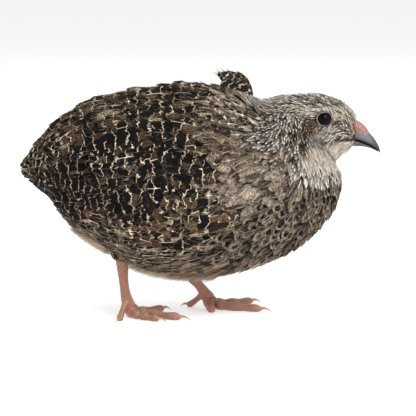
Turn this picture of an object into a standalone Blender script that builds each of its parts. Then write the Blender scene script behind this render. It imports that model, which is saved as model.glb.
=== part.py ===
"""Coturnix quail, life size, standing hunched with its head forward.

The bird faces +X with its left side at +Y, and stands on the plane z = 0. Sizes in the tables are
millimetres, and every mesh is scaled to metres when it is made. The trunk, from the tail to the
bill, is one loft of upright sections that is parted into tail, torso, neck and head. Wings, tail
feathers and the raised scapulars are vanes laid over that loft. Toes, claws and shanks are tubes.
"""
import math
import random

import bpy
import bmesh
from mathutils import Matrix, Vector

MM = 0.001
GAP = 0.3
SKIN_LIFT = 0.5
TRUNK_SIDES = 30
RINGS_PER_SECTION = 2
SHARP_ANGLE = math.radians(35)

# Trunk sections from tail to bill: the top point (x, z), the bottom point (x, z), the half width,
# and how far down from the top the section is widest, as a share of its height.
SECTIONS = {
    "tail_end": ((-72.6, 67.8), (-72.0, 61.8), 4.5, 0.50),
    "tail_root": ((-68.8, 74.8), (-68.0, 57.4), 10.0, 0.48),
    "vent": ((-64.2, 81.7), (-63.0, 48.4), 16.0, 0.46),
    "rump": ((-56.5, 87.9), (-55.0, 38.4), 23.0, 0.47),
    "hip": ((-44.5, 93.6), (-42.0, 29.5), 30.0, 0.49),
    "thigh": ((-28.5, 97.5), (-25.5, 19.9), 34.2, 0.50),
    "mid_back": ((-11.0, 99.5), (-7.5, 16.7), 35.6, 0.50),
    "shoulder": ((5.0, 99.3), (11.0, 17.7), 35.2, 0.51),
    "fore_back": ((16.0, 96.6), (29.0, 23.1), 33.5, 0.52),
    "mantle": ((23.0, 94.0), (44.0, 31.3), 30.0, 0.52),
    "neck_root": ((27.5, 93.5), (55.0, 42.2), 26.0, 0.52),
    "breast_top": ((30.8, 94.3), (60.0, 53.5), 21.5, 0.50),
    "neck_mid": ((34.2, 95.1), (60.0, 61.0), 17.5, 0.48),
    "throat": ((38.6, 95.4), (57.8, 66.6), 14.0, 0.46),
    "nape": ((43.5, 95.8), (60.4, 68.3), 12.2, 0.44),
    "crown": ((49.0, 95.9), (62.4, 69.4), 11.6, 0.42),
    "brow": ((54.6, 94.8), (64.0, 70.2), 11.0, 0.42),
    "forehead": ((60.1, 92.6), (65.0, 70.8), 9.0, 0.46),
    "lores": ((64.6, 89.0), (66.0, 71.6), 6.7, 0.50),
    "bill_base": ((68.2, 84.3), (66.6, 72.6), 4.5, 0.52),
}
SECTION_NAMES = list(SECTIONS)
SECTION_TRACKS = (
    [top[0] for top, bottom, width, widest in SECTIONS.values()],
    [top[1] for top, bottom, width, widest in SECTIONS.values()],
    [bottom[0] for top, bottom, width, widest in SECTIONS.values()],
    [bottom[1] for top, bottom, width, widest in SECTIONS.values()],
    [width for top, bottom, width, widest in SECTIONS.values()],
    [widest for top, bottom, width, widest in SECTIONS.values()],
)

# The eye's middle in side view (x, z), how far the eyeball stands out of the head's surface, and
# its rim: the inner radius, the rim's own radius and how far it is sunk along the eyeball.
EYE_PLACE = (52.1, 86.0)
EYE_RADIUS = 4.2
EYE_STANDS = 0.8
LID_OPENING = 2.95
LID_THICKNESS = 0.62
LID_SINK = 0.25
LID_SEGMENTS = 16
LID_SIDES = 5
EYE_SEGMENTS = 16
EYE_RINGS = 10

# The bill in side view: upper and lower edge (x, z) and half width, from the root to the tip.
UPPER_BILL = (
    ((63.0, 85.0), (62.4, 76.6), 3.9),
    ((66.6, 84.3), (65.8, 76.2), 4.2),
    ((69.4, 82.6), (69.0, 75.3), 4.0),
    ((72.2, 79.0), (72.2, 74.0), 3.0),
    ((74.6, 75.8), (74.5, 72.6), 2.0),
    ((76.2, 72.9), (75.9, 71.3), 1.1),
    ((76.8, 70.8), (76.6, 70.4), 0.35),
)
LOWER_BILL = (
    ((62.6, 76.2), (63.6, 73.0), 3.4),
    ((66.0, 75.8), (66.6, 73.1), 3.5),
    ((69.1, 74.9), (69.5, 73.0), 3.0),
    ((72.2, 73.6), (72.4, 72.3), 2.1),
    ((74.5, 72.2), (74.5, 71.4), 1.2),
    ((75.7, 71.0), (75.7, 70.7), 0.5),
)
BILL_SIDES = 14
OPERCULUM_CENTRE = (68.6, 3.1, 80.2)
OPERCULUM_SEMIAXES = (3.3, 1.5, 1.9)
OPERCULUM_PITCH = math.radians(38)
NOSTRIL_SEMIAXES = (1.3, 0.9, 0.35)
NOSTRIL_OFFSET = (-0.2, 1.4, -1.75)
GAPE_CORNER = (60.4, 76.8)
GAPE_FRONT = (68.6, 75.5)
GAPE_HEIGHT = 0.55
GAPE_DEPTH = 0.9

# The folded wing's core in side view: the heights of its edges at even steps from front to back.
WING_FRONT = 22.5
WING_BACK = -34.0
WING_UPPER_EDGE = (70.0, 80.5, 84.5, 85.5, 84.0, 77.0)
WING_LOWER_EDGE = (55.0, 45.5, 42.5, 42.5, 45.0, 51.0)
WING_COLUMNS = 9
WING_ROWS = 6
WING_THICKNESS = 1.7
WING_EDGE_SHARE = 0.55

# Each tier of vanes: how many, the first and last root in side view (x, z), the first and last
# heading in degrees below straight aft, the first and last length, the width, and the height of
# the vane's underside above the trunk at its root and at its tip.
WING_TIERS = {
    "primaries": (5, (-21, 47), (-27, 60), (-12, 1), (40, 39), 7.0, (1.3, 1.6)),
    "secondaries": (5, (-2, 47), (-12, 69), (-6, 6), (36, 40), 9.0, (1.5, 2.6)),
    "tertials": (4, (-12, 73), (-9, 84), (7, 13), (36, 42), 11.0, (1.6, 3.1)),
    "greater_coverts": (5, (12, 47), (6, 74), (0, 10), (19, 21), 10.0, (1.3, 3.6)),
    "median_coverts": (5, (18.5, 49), (14, 76), (0, 10), (14, 15), 9.0, (1.1, 3.9)),
    "lesser_coverts": (4, (21, 56), (19.5, 72), (4, 10), (9.5, 9.5), 8.0, (0.9, 3.7)),
    "scapulars": (4, (11, 82), (-9, 84), (10, 16), (22, 24), 11.5, (1.3, 4.0)),
}
VANE_THICKNESS = 0.6
VANE_SHAPE = ((0.0, 0.55), (0.30, 0.90), (0.62, 1.0), (0.88, 0.76), (1.0, 0.28))
VANE_TILT = 0.14
LENGTH_VARIATION = 0.05
HEADING_VARIATION = math.radians(1.5)

RECTRIX_COUNT = 7
RECTRIX_ROOT = (-69.9, 0.0, 67.0)
RECTRIX_LENGTH = 7.2
RECTRIX_WIDTH = 4.6
RECTRIX_SPREAD = math.radians(76)
RECTRIX_DROP = math.radians(22)
RECTRIX_ROOT_SPREAD = 4.6
RECTRIX_CROWN = 5.0
RECTRIX_STEP = 0.9
# Tail coverts: how many, half spread in degrees round the trunk, length and width. All root at
# one place on the core, just behind the torso.
UPPER_COVERTS = (5, 62, 7.4, 5.0)
UNDER_COVERTS = (4, 46, 5.8, 5.0)
COVERT_ROOT = 0.72
COVERT_LIFT = (-1.0, 0.1)
COVERT_TILT = 0.12
# The tail's core, as places along the trunk and the share of the trunk's own size there.
TAIL_CORE = ((0.6, 0.90), (0.0, 0.84))
TAIL_CORE_SIDES = 20

# Raised scapulars of the left shoulder, on a pad: centre (x, y) and semiaxes of the pad, and each
# vane's root (x, y), lean aft in degrees and length.
RAISED_CENTRE = (16.0, 4.6)
RAISED_SEMIAXES = (6.4, 3.2)
RAISED_PAD_HEIGHT = 1.3
RAISED_PAD_SIDES = 16
# The pad's edge and rounded top: share of its height and share of its size.
RAISED_PAD_PROFILE = ((0.0, 1.0), (0.6, 1.0), (1.0, 0.6))
RAISED_ROOT_LIFT = 1.0
# Share of the lean that a raised vane has at its root, and how much more it has at its tip.
RAISED_BEND = (0.6, 0.7)
RAISED_VANES = (
    (20.0, 5.6, 14, 8.4),
    (18.0, 4.6, 26, 9.4),
    (16.0, 3.6, 38, 9.2),
    (14.2, 5.1, 52, 10.0),
    (12.2, 4.1, 66, 8.5),
)
RAISED_WIDTH = 6.4

# Legs: thigh cuff top and bottom, the shank's path down to the foot, the ball of the foot, and
# where each toe starts, bends and ends on the ground (x, y).
LEGS = {
    "right": {
        "cuff": ((-34.6, -10.6, 36.0), (-33.8, -9.8, 25.4)),
        "shank": ((-33.0, -9.0, 15.5), (-32.2, -8.2, 9.5), (-30.8, -7.5, 4.6)),
        "ball": (-29.6, -7.2, 3.0),
        "toes": {
            "hallux": ((-32.0, -8.8), (-33.8, -12.4), (-34.7, -15.6)),
            "inner_toe": ((-29.6, -5.0), (-24.0, 0.2), (-16.4, 6.4)),
            "middle_toe": ((-28.6, -6.9), (-20.4, -9.6), (-8.6, -13.6)),
            "outer_toe": ((-29.6, -9.2), (-24.4, -12.6), (-18.0, -16.2)),
        },
    },
    "left": {
        "cuff": ((-11.5, 10.8, 27.0), (-4.9, 10.6, 15.8)),
        "shank": ((-1.2, 10.8, 10.9), (0.9, 11.2, 8.0), (3.0, 11.6, 4.8)),
        "ball": (4.0, 11.6, 3.0),
        "toes": {
            "hallux": ((1.2, 12.2), (-2.6, 14.2), (-6.0, 15.6)),
            "inner_toe": ((4.0, 9.4), (4.2, 5.6), (4.7, 2.2)),
            "middle_toe": ((5.0, 11.0), (13.4, 7.4), (26.4, 4.2)),
            "outer_toe": ((4.6, 13.2), (12.6, 18.0), (23.0, 23.6)),
        },
    },
}
CUFF_RADII = (6.0, 3.2)
# The cuff's outline: share of its length, and share of the way from its narrow to its wide radius.
CUFF_OUTLINE = ((0.0, 1.0), (0.35, 0.94), (0.7, 0.66), (1.0, 0.0))
SOCKET_REACH = 5.0
SHANK_RADII = (2.7, 2.05, 2.3, 2.9)
SHANK_NARROWING = 0.82
SHANK_STEPS = 9
SHANK_LEAD = 2.0
BALL_SEMIAXES = (3.2, 3.6, 3.2)
# Each toe: radius at the root, number of pads, share of its length that stays on the foot, the
# height of its root above the ground, and the share of its length where it comes down to it.
TOES = {
    "hallux": (1.3, 1, 0.50, 7.0, 0.95),
    "inner_toe": (1.6, 2, 0.36, 2.6, 0.42),
    "middle_toe": (1.8, 3, 0.26, 2.8, 0.30),
    "outer_toe": (1.6, 3, 0.36, 2.6, 0.42),
}
TOE_TAPER = 0.30
TOE_ARCH = 1.5
PAD_SWELL = 0.10
LAST_PAD = 0.88
SOLE_PRESS = 0.22
SOLE_REACH = 0.42
TOE_POINTS = 7
CLAW_LENGTH = {"hallux": 3.4, "inner_toe": 4.0, "middle_toe": 4.6, "outer_toe": 3.9}
CLAW_GAP = 0.45
CLAW_RADIUS = 0.72
CLAW_TIP_RADIUS = 0.16
CLAW_STEPS = 5
CLAW_RISE = 0.15
CLAW_ARCH = 0.5
CLAW_FALL = 1.6

# Colour and roughness of each kind of sub-part.
FINISHES = {
    "torso": ((0.30, 0.21, 0.14), 0.85),
    "neck": ((0.42, 0.33, 0.24), 0.85),
    "head": ((0.26, 0.20, 0.15), 0.85),
    "wing": ((0.20, 0.15, 0.11), 0.8),
    "tail": ((0.17, 0.12, 0.09), 0.8),
    "raised": ((0.12, 0.10, 0.08), 0.8),
    "thigh": ((0.40, 0.30, 0.21), 0.85),
    "upper": ((0.17, 0.17, 0.19), 0.35),
    "lower": ((0.22, 0.21, 0.22), 0.35),
    "eye": ((0.015, 0.012, 0.01), 0.08),
    "tarsus": ((0.62, 0.36, 0.27), 0.5),
    "hallux": ((0.60, 0.35, 0.26), 0.5),
    "inner": ((0.60, 0.35, 0.26), 0.5),
    "middle": ((0.60, 0.35, 0.26), 0.5),
    "outer": ((0.60, 0.35, 0.26), 0.5),
    "claw": ((0.55, 0.36, 0.20), 0.4),
}


def finish(kind):
    """The material of one kind of sub-part, made at its first use."""
    made = bpy.data.materials.get(kind)
    if made:
        return made
    colour, roughness = FINISHES[kind]
    made = bpy.data.materials.new(kind)
    made.use_nodes = True
    shader = made.node_tree.nodes["Principled BSDF"]
    shader.inputs["Base Color"].default_value = (*colour, 1.0)
    shader.inputs["Roughness"].default_value = roughness
    shader.inputs["Metallic"].default_value = 0.0
    return made


def new_collection(name, hidden=False):
    made = bpy.data.collections.new(name)
    bpy.context.scene.collection.children.link(made)
    made.hide_render = hidden
    return made


def piece(name, mesh, home):
    """An object in the body's collection has its finish; one among the cutters is drawn as wire."""
    obj = bpy.data.objects.new(name, mesh)
    home.objects.link(obj)
    if home.hide_render:
        obj.hide_render = True
        obj.display_type = "WIRE"
    else:
        mesh.materials.clear()
        mesh.materials.append(finish(name.split("_")[0]))
        mesh.shade_smooth()
        mesh.set_sharp_from_angle(angle=SHARP_ANGLE)
    return obj


def mesh_of(name, points, faces):
    """A mesh in metres from points in millimetres."""
    mesh = bpy.data.meshes.new(name)
    mesh.from_pydata([Vector(p) * MM for p in points], [], faces)
    return mesh


def turned_out(mesh):
    """The same closed mesh with its faces turned outwards."""
    shape = bmesh.new()
    shape.from_mesh(mesh)
    bmesh.ops.recalc_face_normals(shape, faces=shape.faces)
    shape.to_mesh(mesh)
    shape.free()
    return mesh


def ring_loft(name, rings):
    """A closed mesh through rings of equal length, each end closed round a middle point."""
    count = len(rings[0])
    points = [p for ring in rings for p in ring]
    faces = []
    for i in range(len(rings) - 1):
        for j in range(count):
            k = (j + 1) % count
            low, high = i * count, (i + 1) * count
            faces.append((low + j, low + k, high + j))
            faces.append((low + k, high + k, high + j))
    for ring, start in ((rings[0], 0), (rings[-1], (len(rings) - 1) * count)):
        points.append(sum((Vector(p) for p in ring), Vector()) / count)
        hub = len(points) - 1
        faces += [(start + j, start + (j + 1) % count, hub) for j in range(count)]
    return turned_out(mesh_of(name, points, faces))


def sheet(name, rows, thickness, home, thin_edge=None):
    """A grid of points split into triangles and thickened outwards, alike on both faces."""
    columns = len(rows[0])
    points = [p for row in rows for p in row]
    faces = []
    for i in range(len(rows) - 1):
        for j in range(columns - 1):
            a, b = i * columns + j, (i + 1) * columns + j
            faces += [(a, b, b + 1), (a, b + 1, a + 1)]
    obj = piece(name, mesh_of(name, points, faces), home)
    solid = obj.modifiers.new("thickness", "SOLIDIFY")
    solid.thickness = thickness * MM
    solid.offset = 1.0
    if thin_edge is not None:
        rim = obj.vertex_groups.new(name="inside")
        for i in range(len(rows)):
            for j in range(columns):
                across = math.sin(math.pi * j / (columns - 1))
                along = math.sin(math.pi * i / (len(rows) - 1))
                rim.add([i * columns + j], math.sqrt(max(across * along, 0.0)), "REPLACE")
        solid.vertex_group = "inside"
        solid.thickness_vertex_group = thin_edge
    return obj


def hermite(values, place):
    """A smooth value between a list's entries, at a place that counts entries."""
    last = len(values) - 1
    i = min(max(int(place), 0), last - 1)
    t = place - i
    a, b = values[i], values[i + 1]
    before = values[i - 1] if i else 2 * a - b
    after = values[i + 2] if i + 2 <= last else 2 * b - a
    slope_a, slope_b = (b - before) / 2, (after - a) / 2
    return (
        a * (2 * t**3 - 3 * t**2 + 1)
        + b * (3 * t**2 - 2 * t**3)
        + slope_a * (t**3 - 2 * t**2 + t)
        + slope_b * (t**3 - t**2)
    )


def trunk(place, angle):
    """The trunk's surface at a place along the sections, angle radians round from the top to +Y."""
    top_x, top_z, low_x, low_z, width, widest = (hermite(t, place) for t in SECTION_TRACKS)
    middle_x = top_x + (low_x - top_x) * widest
    middle_z = top_z + (low_z - top_z) * widest
    rise = math.cos(angle)
    end_x, end_z = (top_x, top_z) if rise > 0 else (low_x, low_z)
    x = middle_x + (end_x - middle_x) * abs(rise)
    z = middle_z + (end_z - middle_z) * abs(rise)
    return Vector((x, width * math.sin(angle), z))


def outward(place, angle):
    """The unit vector that points straight out of the trunk there."""
    step = 0.01
    along = trunk(place + step, angle) - trunk(place - step, angle)
    around = trunk(place, angle + step) - trunk(place, angle - step)
    return along.cross(around).normalized()


def section_ring(place, shift=0.0, sides=TRUNK_SIDES):
    """One section of the trunk, moved forwards square to its own plane by shift."""
    ring = [trunk(place, 2 * math.pi * j / sides) for j in range(sides)]
    up = (ring[0] - ring[sides // 2]).normalized()
    forward = Vector((0, 1, 0)).cross(up)
    return [p + forward * shift for p in ring]


def trunk_mesh(name, first, last, back_shift=0.0, front_shift=0.0):
    """The stretch of the trunk between two named sections, with its end sections moved."""
    start, end = SECTION_NAMES.index(first), SECTION_NAMES.index(last)
    steps = (end - start) * RINGS_PER_SECTION
    rings = [section_ring(start + i / RINGS_PER_SECTION) for i in range(steps + 1)]
    rings[0] = section_ring(start, back_shift)
    rings[-1] = section_ring(end, front_shift)
    return ring_loft(name, rings)


def place_on_side(x, z):
    """The place and angle where the trunk's left side has this x and z in side view."""
    place, angle = 6.0, math.pi / 2
    step = 0.01
    for _ in range(12):
        here = trunk(place, angle)
        d_place = (trunk(place + step, angle) - here) / step
        d_angle = (trunk(place, angle + step) - here) / step
        det = d_place.x * d_angle.z - d_place.z * d_angle.x
        miss_x, miss_z = x - here.x, z - here.z
        place += (miss_x * d_angle.z - miss_z * d_angle.x) / det
        angle += (miss_z * d_place.x - miss_x * d_place.z) / det
        angle = min(max(angle, 0.35), math.pi - 0.35)
        place = min(max(place, 0.0), len(SECTION_NAMES) - 1.0)
    return place, angle


def over_side(x, z, lift):
    """A point lift above the trunk's left side at x and z in side view."""
    place, angle = place_on_side(x, z)
    return trunk(place, angle) + outward(place, angle) * lift


def place_of_x(x, angle):
    """The place where the trunk at this angle has this x."""
    low, high = 0.0, len(SECTION_NAMES) - 1.0
    for _ in range(30):
        middle = (low + high) / 2
        if trunk(middle, angle).x < x:
            low = middle
        else:
            high = middle
    return low


def fuse(name, pieces, home, cutters=()):
    """One closed body from overlapping pieces, less the cutters, as a new object."""
    joined = bpy.data.collections.new(name + "_pieces")
    base = pieces[0]
    for obj in pieces[1:]:
        joined.objects.link(obj)
    if len(pieces) > 1:
        join = base.modifiers.new("join", "BOOLEAN")
        join.operation = "UNION"
        join.operand_type = "COLLECTION"
        join.collection = joined
        join.solver = "MANIFOLD"
    for cutter in cutters:
        cut = base.modifiers.new("cut", "BOOLEAN")
        cut.operation = "DIFFERENCE"
        cut.object = cutter
        cut.solver = "MANIFOLD"
    bpy.context.view_layer.update()
    evaluated = base.evaluated_get(bpy.context.evaluated_depsgraph_get())
    mesh = bpy.data.meshes.new_from_object(evaluated)
    keep_largest(mesh)
    for obj in [*pieces, *cutters]:
        bpy.data.objects.remove(obj)
    bpy.data.collections.remove(joined)
    mesh.name = name
    return piece(name, mesh, home)


def keep_largest(mesh):
    """Drops every closed surface of the mesh but the one that holds the most."""
    shape = bmesh.new()
    shape.from_mesh(mesh)
    bmesh.ops.triangulate(shape, faces=shape.faces)
    unseen = set(shape.faces)
    groups = []
    while unseen:
        group, front = set(), [unseen.pop()]
        while front:
            face = front.pop()
            group.add(face)
            for edge in face.edges:
                for other in edge.link_faces:
                    if other in unseen:
                        unseen.discard(other)
                        front.append(other)
        groups.append(group)

    def volume(group):
        return sum(f.verts[0].co.dot(f.verts[1].co.cross(f.verts[2].co)) for f in group)

    largest = max(groups, key=volume)
    drop = [f for group in groups if group is not largest for f in group]
    bmesh.ops.delete(shape, geom=drop, context="FACES")
    shape.to_mesh(mesh)
    shape.free()


def ellipsoid(name, centre, semiaxes, home, segments=16, rings=10, pitch=0.0):
    """A sphere scaled to its semiaxes and pitched nose down."""
    shape = bmesh.new()
    bmesh.ops.create_uvsphere(shape, u_segments=segments, v_segments=rings, radius=1.0)
    stretch = Matrix.Diagonal((*semiaxes, 1.0))
    turn = Matrix.Rotation(pitch, 4, "Y")
    move = Matrix.Translation(Vector(centre))
    placed = Matrix.Scale(MM, 4) @ move @ turn @ stretch
    bmesh.ops.transform(shape, matrix=placed, verts=shape.verts)
    mesh = bpy.data.meshes.new(name)
    shape.to_mesh(mesh)
    shape.free()
    return piece(name, mesh, home)


def smooth_path(points, share):
    place = share * (len(points) - 1)
    return Vector([hermite([p[i] for p in points], place) for i in range(3)])


def tube(name, path, radii, home, resolution=3):
    """A round tube along a path, whose radius changes from point to point."""
    curve = bpy.data.curves.new(name, "CURVE")
    curve.dimensions = "3D"
    curve.bevel_depth = MM
    curve.bevel_resolution = resolution
    curve.use_fill_caps = True
    spline = curve.splines.new("POLY")
    spline.points.add(len(path) - 1)
    for point, centre, radius in zip(spline.points, path, radii):
        point.co = (*(Vector(centre) * MM), 1.0)
        point.radius = radius
    source = bpy.data.objects.new(name + "_curve", curve)
    bpy.context.scene.collection.objects.link(source)
    bpy.context.view_layer.update()
    evaluated = source.evaluated_get(bpy.context.evaluated_depsgraph_get())
    mesh = bpy.data.meshes.new_from_object(evaluated)
    bpy.data.objects.remove(source)
    shape = bmesh.new()
    shape.from_mesh(mesh)
    bmesh.ops.remove_doubles(shape, verts=shape.verts, dist=1e-6)
    bmesh.ops.triangulate(shape, faces=shape.faces)
    shape.to_mesh(mesh)
    shape.free()
    return piece(name, mesh, home)


def press_on_ground(obj, reach=0.0):
    """Flattens whatever is lower than reach into a flat at z = 0."""
    for vert in obj.data.vertices:
        if vert.co.z < reach * MM:
            vert.co.z = 0.0


def cuff(name, sizes, home, grow=0.0, reach=0.0):
    """The feathered thigh's end, a cone that narrows to the bare shank.

    A cutter of the same shape is larger by grow all round and goes on below it by reach.
    """
    top, bottom = (Vector(p) for p in sizes["cuff"])
    axis = (bottom - top).normalized()
    path = [top.lerp(bottom, share) for share, size in CUFF_OUTLINE]
    path[0] -= axis * grow
    wide, narrow = CUFF_RADII
    radii = [narrow + (wide - narrow) * size + grow for share, size in CUFF_OUTLINE]
    if reach:
        path.append(bottom + axis * reach)
        radii.append(radii[-1])
    return tube(name, path, radii, home, 5)


def toe_path(points, kind):
    """The toe's centre line and radii, with a swelling at each pad, pressed on the ground."""
    radius, pads, _, root_height, landing = TOES[kind]
    path, radii = [], []
    for i in range(TOE_POINTS):
        share = i / (TOE_POINTS - 1)
        size = radius * (1 - TOE_TAPER * share)
        level = size - SOLE_PRESS
        height = level + (root_height - level) * max(0.0, 1 - share / landing) ** TOE_ARCH
        x, y, _ = smooth_path([(*p, 0.0) for p in points], share)
        path.append(Vector((x, y, height)))
        swell = PAD_SWELL * math.cos(2 * math.pi * pads * (share - LAST_PAD))
        radii.append(size * (1 + swell))
    return path, radii


def cut_path(path, radii, first, last):
    """Points along a stretch of a path, closest at its start, and their radii."""
    stretch, sizes = [], []
    for i in range(TOE_POINTS):
        share = first + (last - first) * (i / (TOE_POINTS - 1)) ** 1.5
        stretch.append(smooth_path(path, share))
        sizes.append(hermite(radii, share * (len(radii) - 1)))
    return stretch, sizes


def make_claw(name, toe, kind, home):
    """A curved nail that leaves the toe's tip and bends down to the ground."""
    tip = toe[-1]
    level = tip - toe[-2]
    level.z = 0.0
    level.normalize()
    length = CLAW_LENGTH[kind]
    start = tip.z + CLAW_RISE
    path, radii = [], []
    for i in range(CLAW_STEPS + 1):
        share = i / CLAW_STEPS
        radius = CLAW_RADIUS + (CLAW_TIP_RADIUS - CLAW_RADIUS) * share
        centre = tip + level * (CLAW_GAP + length * share)
        centre.z = start + (radius - start) * share**CLAW_FALL
        centre.z += CLAW_ARCH * math.sin(math.pi * share)
        path.append(centre)
        radii.append(radius)
    press_on_ground(tube(name, path, radii, home, 1))


def make_leg(side, sizes, body, cutters):
    """Thigh cuff, shank with the ball of the foot, four toes and four claws.

    Returns the cutter that makes room for the thigh in the torso.
    """
    cuff(f"thigh_{side}", sizes, body)
    socket = cuff(f"socket_{side}", sizes, cutters, GAP, SOCKET_REACH)
    top, bottom = (Vector(p) for p in sizes["cuff"])
    axis = (bottom - top).normalized()
    bends = [bottom + axis * GAP, bottom + axis * SHANK_LEAD, *sizes["shank"]]
    shares = [i / SHANK_STEPS for i in range(SHANK_STEPS + 1)]
    path = [smooth_path(bends, share) for share in shares]
    radii = [hermite(SHANK_RADII, share * (len(SHANK_RADII) - 1)) for share in shares]
    shank = tube("shank", path, radii, cutters, 2)
    middle = bottom.y * MM
    for vert in shank.data.vertices:
        vert.co.y = middle + (vert.co.y - middle) * SHANK_NARROWING
    ball = ellipsoid("ball", sizes["ball"], BALL_SEMIAXES, cutters, 12, 8)
    press_on_ground(ball, SOLE_REACH)
    pieces = [shank, ball]
    for kind, points in sizes["toes"].items():
        path, radii = toe_path(points, kind)
        length = sum((b - a).length for a, b in zip(path, path[1:]))
        cut = TOES[kind][2]
        root = tube("toe_root", *cut_path(path, radii, 0.0, cut), cutters, 2)
        press_on_ground(root, SOLE_REACH)
        pieces.append(root)
        name = f"{kind}_{side}"
        free = cut_path(path, radii, cut + GAP / length, 1.0)
        press_on_ground(tube(name, *free, body, 2), SOLE_REACH)
        make_claw(f"claw_{name}", free[0], kind, body)
    fuse(f"tarsus_{side}", pieces, body)
    return socket


def side_vane(name, root, heading, length, width, lifts, home):
    """A vane that lies over the trunk's left side, placed and aimed in side view.

    It is tilted across its width, so that each vane of a tier lies over the one below it.
    """
    aft = (-math.cos(heading), -math.sin(heading))
    rows = []
    for share, breadth in VANE_SHAPE:
        x = root[0] + aft[0] * length * share
        z = root[1] + aft[1] * length * share
        lift = lifts[0] + (lifts[1] - lifts[0]) * share
        half = width / 2 * breadth
        row = []
        for across in (1, -1):
            edge_x = x - aft[1] * half * across
            edge_z = z + aft[0] * half * across
            row.append(over_side(edge_x, edge_z, lift - VANE_TILT * half * across))
        rows.append(row)
    return sheet(name, rows, VANE_THICKNESS, home)


def make_wing(body, cutters):
    """The folded left wing: a thin core over the trunk's side, under tiers of overlapping vanes."""
    draw = random.Random(7)
    rows = []
    for j in range(WING_ROWS):
        row = []
        for i in range(WING_COLUMNS):
            share = i / (WING_COLUMNS - 1)
            x = WING_FRONT + (WING_BACK - WING_FRONT) * share
            step = share * (len(WING_UPPER_EDGE) - 1)
            high, low = hermite(WING_UPPER_EDGE, step), hermite(WING_LOWER_EDGE, step)
            z = high + (low - high) * j / (WING_ROWS - 1)
            row.append(over_side(x, z, SKIN_LIFT))
        rows.append(row)
    pieces = [sheet("wing_core", rows, WING_THICKNESS, cutters, WING_EDGE_SHARE)]
    for tier, (count, first, last, headings, lengths, width, lifts) in WING_TIERS.items():
        for k in range(count):
            share = k / (count - 1)
            root = [first[n] + (last[n] - first[n]) * share for n in (0, 1)]
            heading = math.radians(headings[0] + (headings[1] - headings[0]) * share)
            heading += draw.uniform(-1, 1) * HEADING_VARIATION
            length = lengths[0] + (lengths[1] - lengths[0]) * share
            length *= 1 + draw.uniform(-1, 1) * LENGTH_VARIATION
            pieces.append(side_vane(tier, root, heading, length, width, lifts, cutters))
    return fuse("wing_left", pieces, body)


def mirrored(obj, name, home):
    """The same shape on the other side of the body."""
    mesh = obj.data.copy()
    mesh.name = name
    mesh.transform(Matrix.Scale(-1, 4, Vector((0, 1, 0))))
    mesh.flip_normals()
    return piece(name, mesh, home)


def covert_row(row, underneath, home):
    """A row of tail coverts that follow the trunk aft from their roots."""
    count, spread, length, width = row
    place = COVERT_ROOT
    made = []
    for k in range(count):
        turn = math.radians(spread) * (2 * k / (count - 1) - 1)
        angle = (math.pi if underneath else 0) + turn
        end = trunk(0.0, angle) - trunk(place, angle)
        rows = []
        for share, breadth in VANE_SHAPE:
            here = max(place - place * share * length / end.length, 0.0)
            point, up = trunk(here, angle), outward(here, angle)
            beyond = max(share * length - end.length, 0.0)
            point += (trunk(0.0, angle) - trunk(0.2, angle)).normalized() * beyond
            along = (trunk(here, angle) - trunk(here + 0.1, angle)).normalized()
            sideways = up.cross(along).normalized()
            lift = COVERT_LIFT[0] + (COVERT_LIFT[1] - COVERT_LIFT[0]) * share
            half = width / 2 * breadth
            lean = COVERT_TILT * half * (1 if turn > 0 else -1)
            rows.append(
                [point + sideways * half * s + up * (lift + lean * s) for s in (-1, 1)]
            )
        made.append(sheet("covert", rows, VANE_THICKNESS, home))
    return made


def make_tail(body, cutters):
    """The tail: a core that ends the trunk, a fan of stiff feathers, and coverts over and under."""
    root = SECTION_NAMES.index("tail_root")
    rings = [section_ring(root, -GAP, TAIL_CORE_SIDES)]
    for place, size in TAIL_CORE:
        ring = section_ring(place, 0.0, TAIL_CORE_SIDES)
        middle = sum(ring, Vector()) / len(ring)
        rings.append([middle + (p - middle) * size for p in ring])
    pieces = [piece("tail_core", ring_loft("tail_core", rings), cutters)]
    for k in range(RECTRIX_COUNT):
        turn = RECTRIX_SPREAD / 2 * (2 * k / (RECTRIX_COUNT - 1) - 1)
        along = Vector((-math.cos(turn), math.sin(turn), -math.tan(RECTRIX_DROP))).normalized()
        sideways = along.cross(Vector((0, 0, 1))).normalized()
        up = sideways.cross(along)
        root = Vector(RECTRIX_ROOT) + Vector((0, RECTRIX_ROOT_SPREAD * math.sin(turn), 0))
        root.z -= RECTRIX_CROWN * (1 - math.cos(turn)) + RECTRIX_STEP * (k % 2)
        rows = []
        for share, breadth in VANE_SHAPE:
            centre = root + along * RECTRIX_LENGTH * share
            half = RECTRIX_WIDTH / 2 * breadth
            rows.append([centre - sideways * half, centre + sideways * half])
        pieces.append(sheet("rectrix", rows, VANE_THICKNESS, cutters))
    pieces += covert_row(UPPER_COVERTS, False, cutters)
    pieces += covert_row(UNDER_COVERTS, True, cutters)
    return fuse("tail", pieces, body)


def back_point(x, y, lift):
    """A point lift above the trunk's back at x and y in plan, near the shoulders."""
    angle = math.asin(y / SECTIONS["shoulder"][2])
    place = place_of_x(x, angle)
    return trunk(place, angle) + outward(place, angle) * lift


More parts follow.
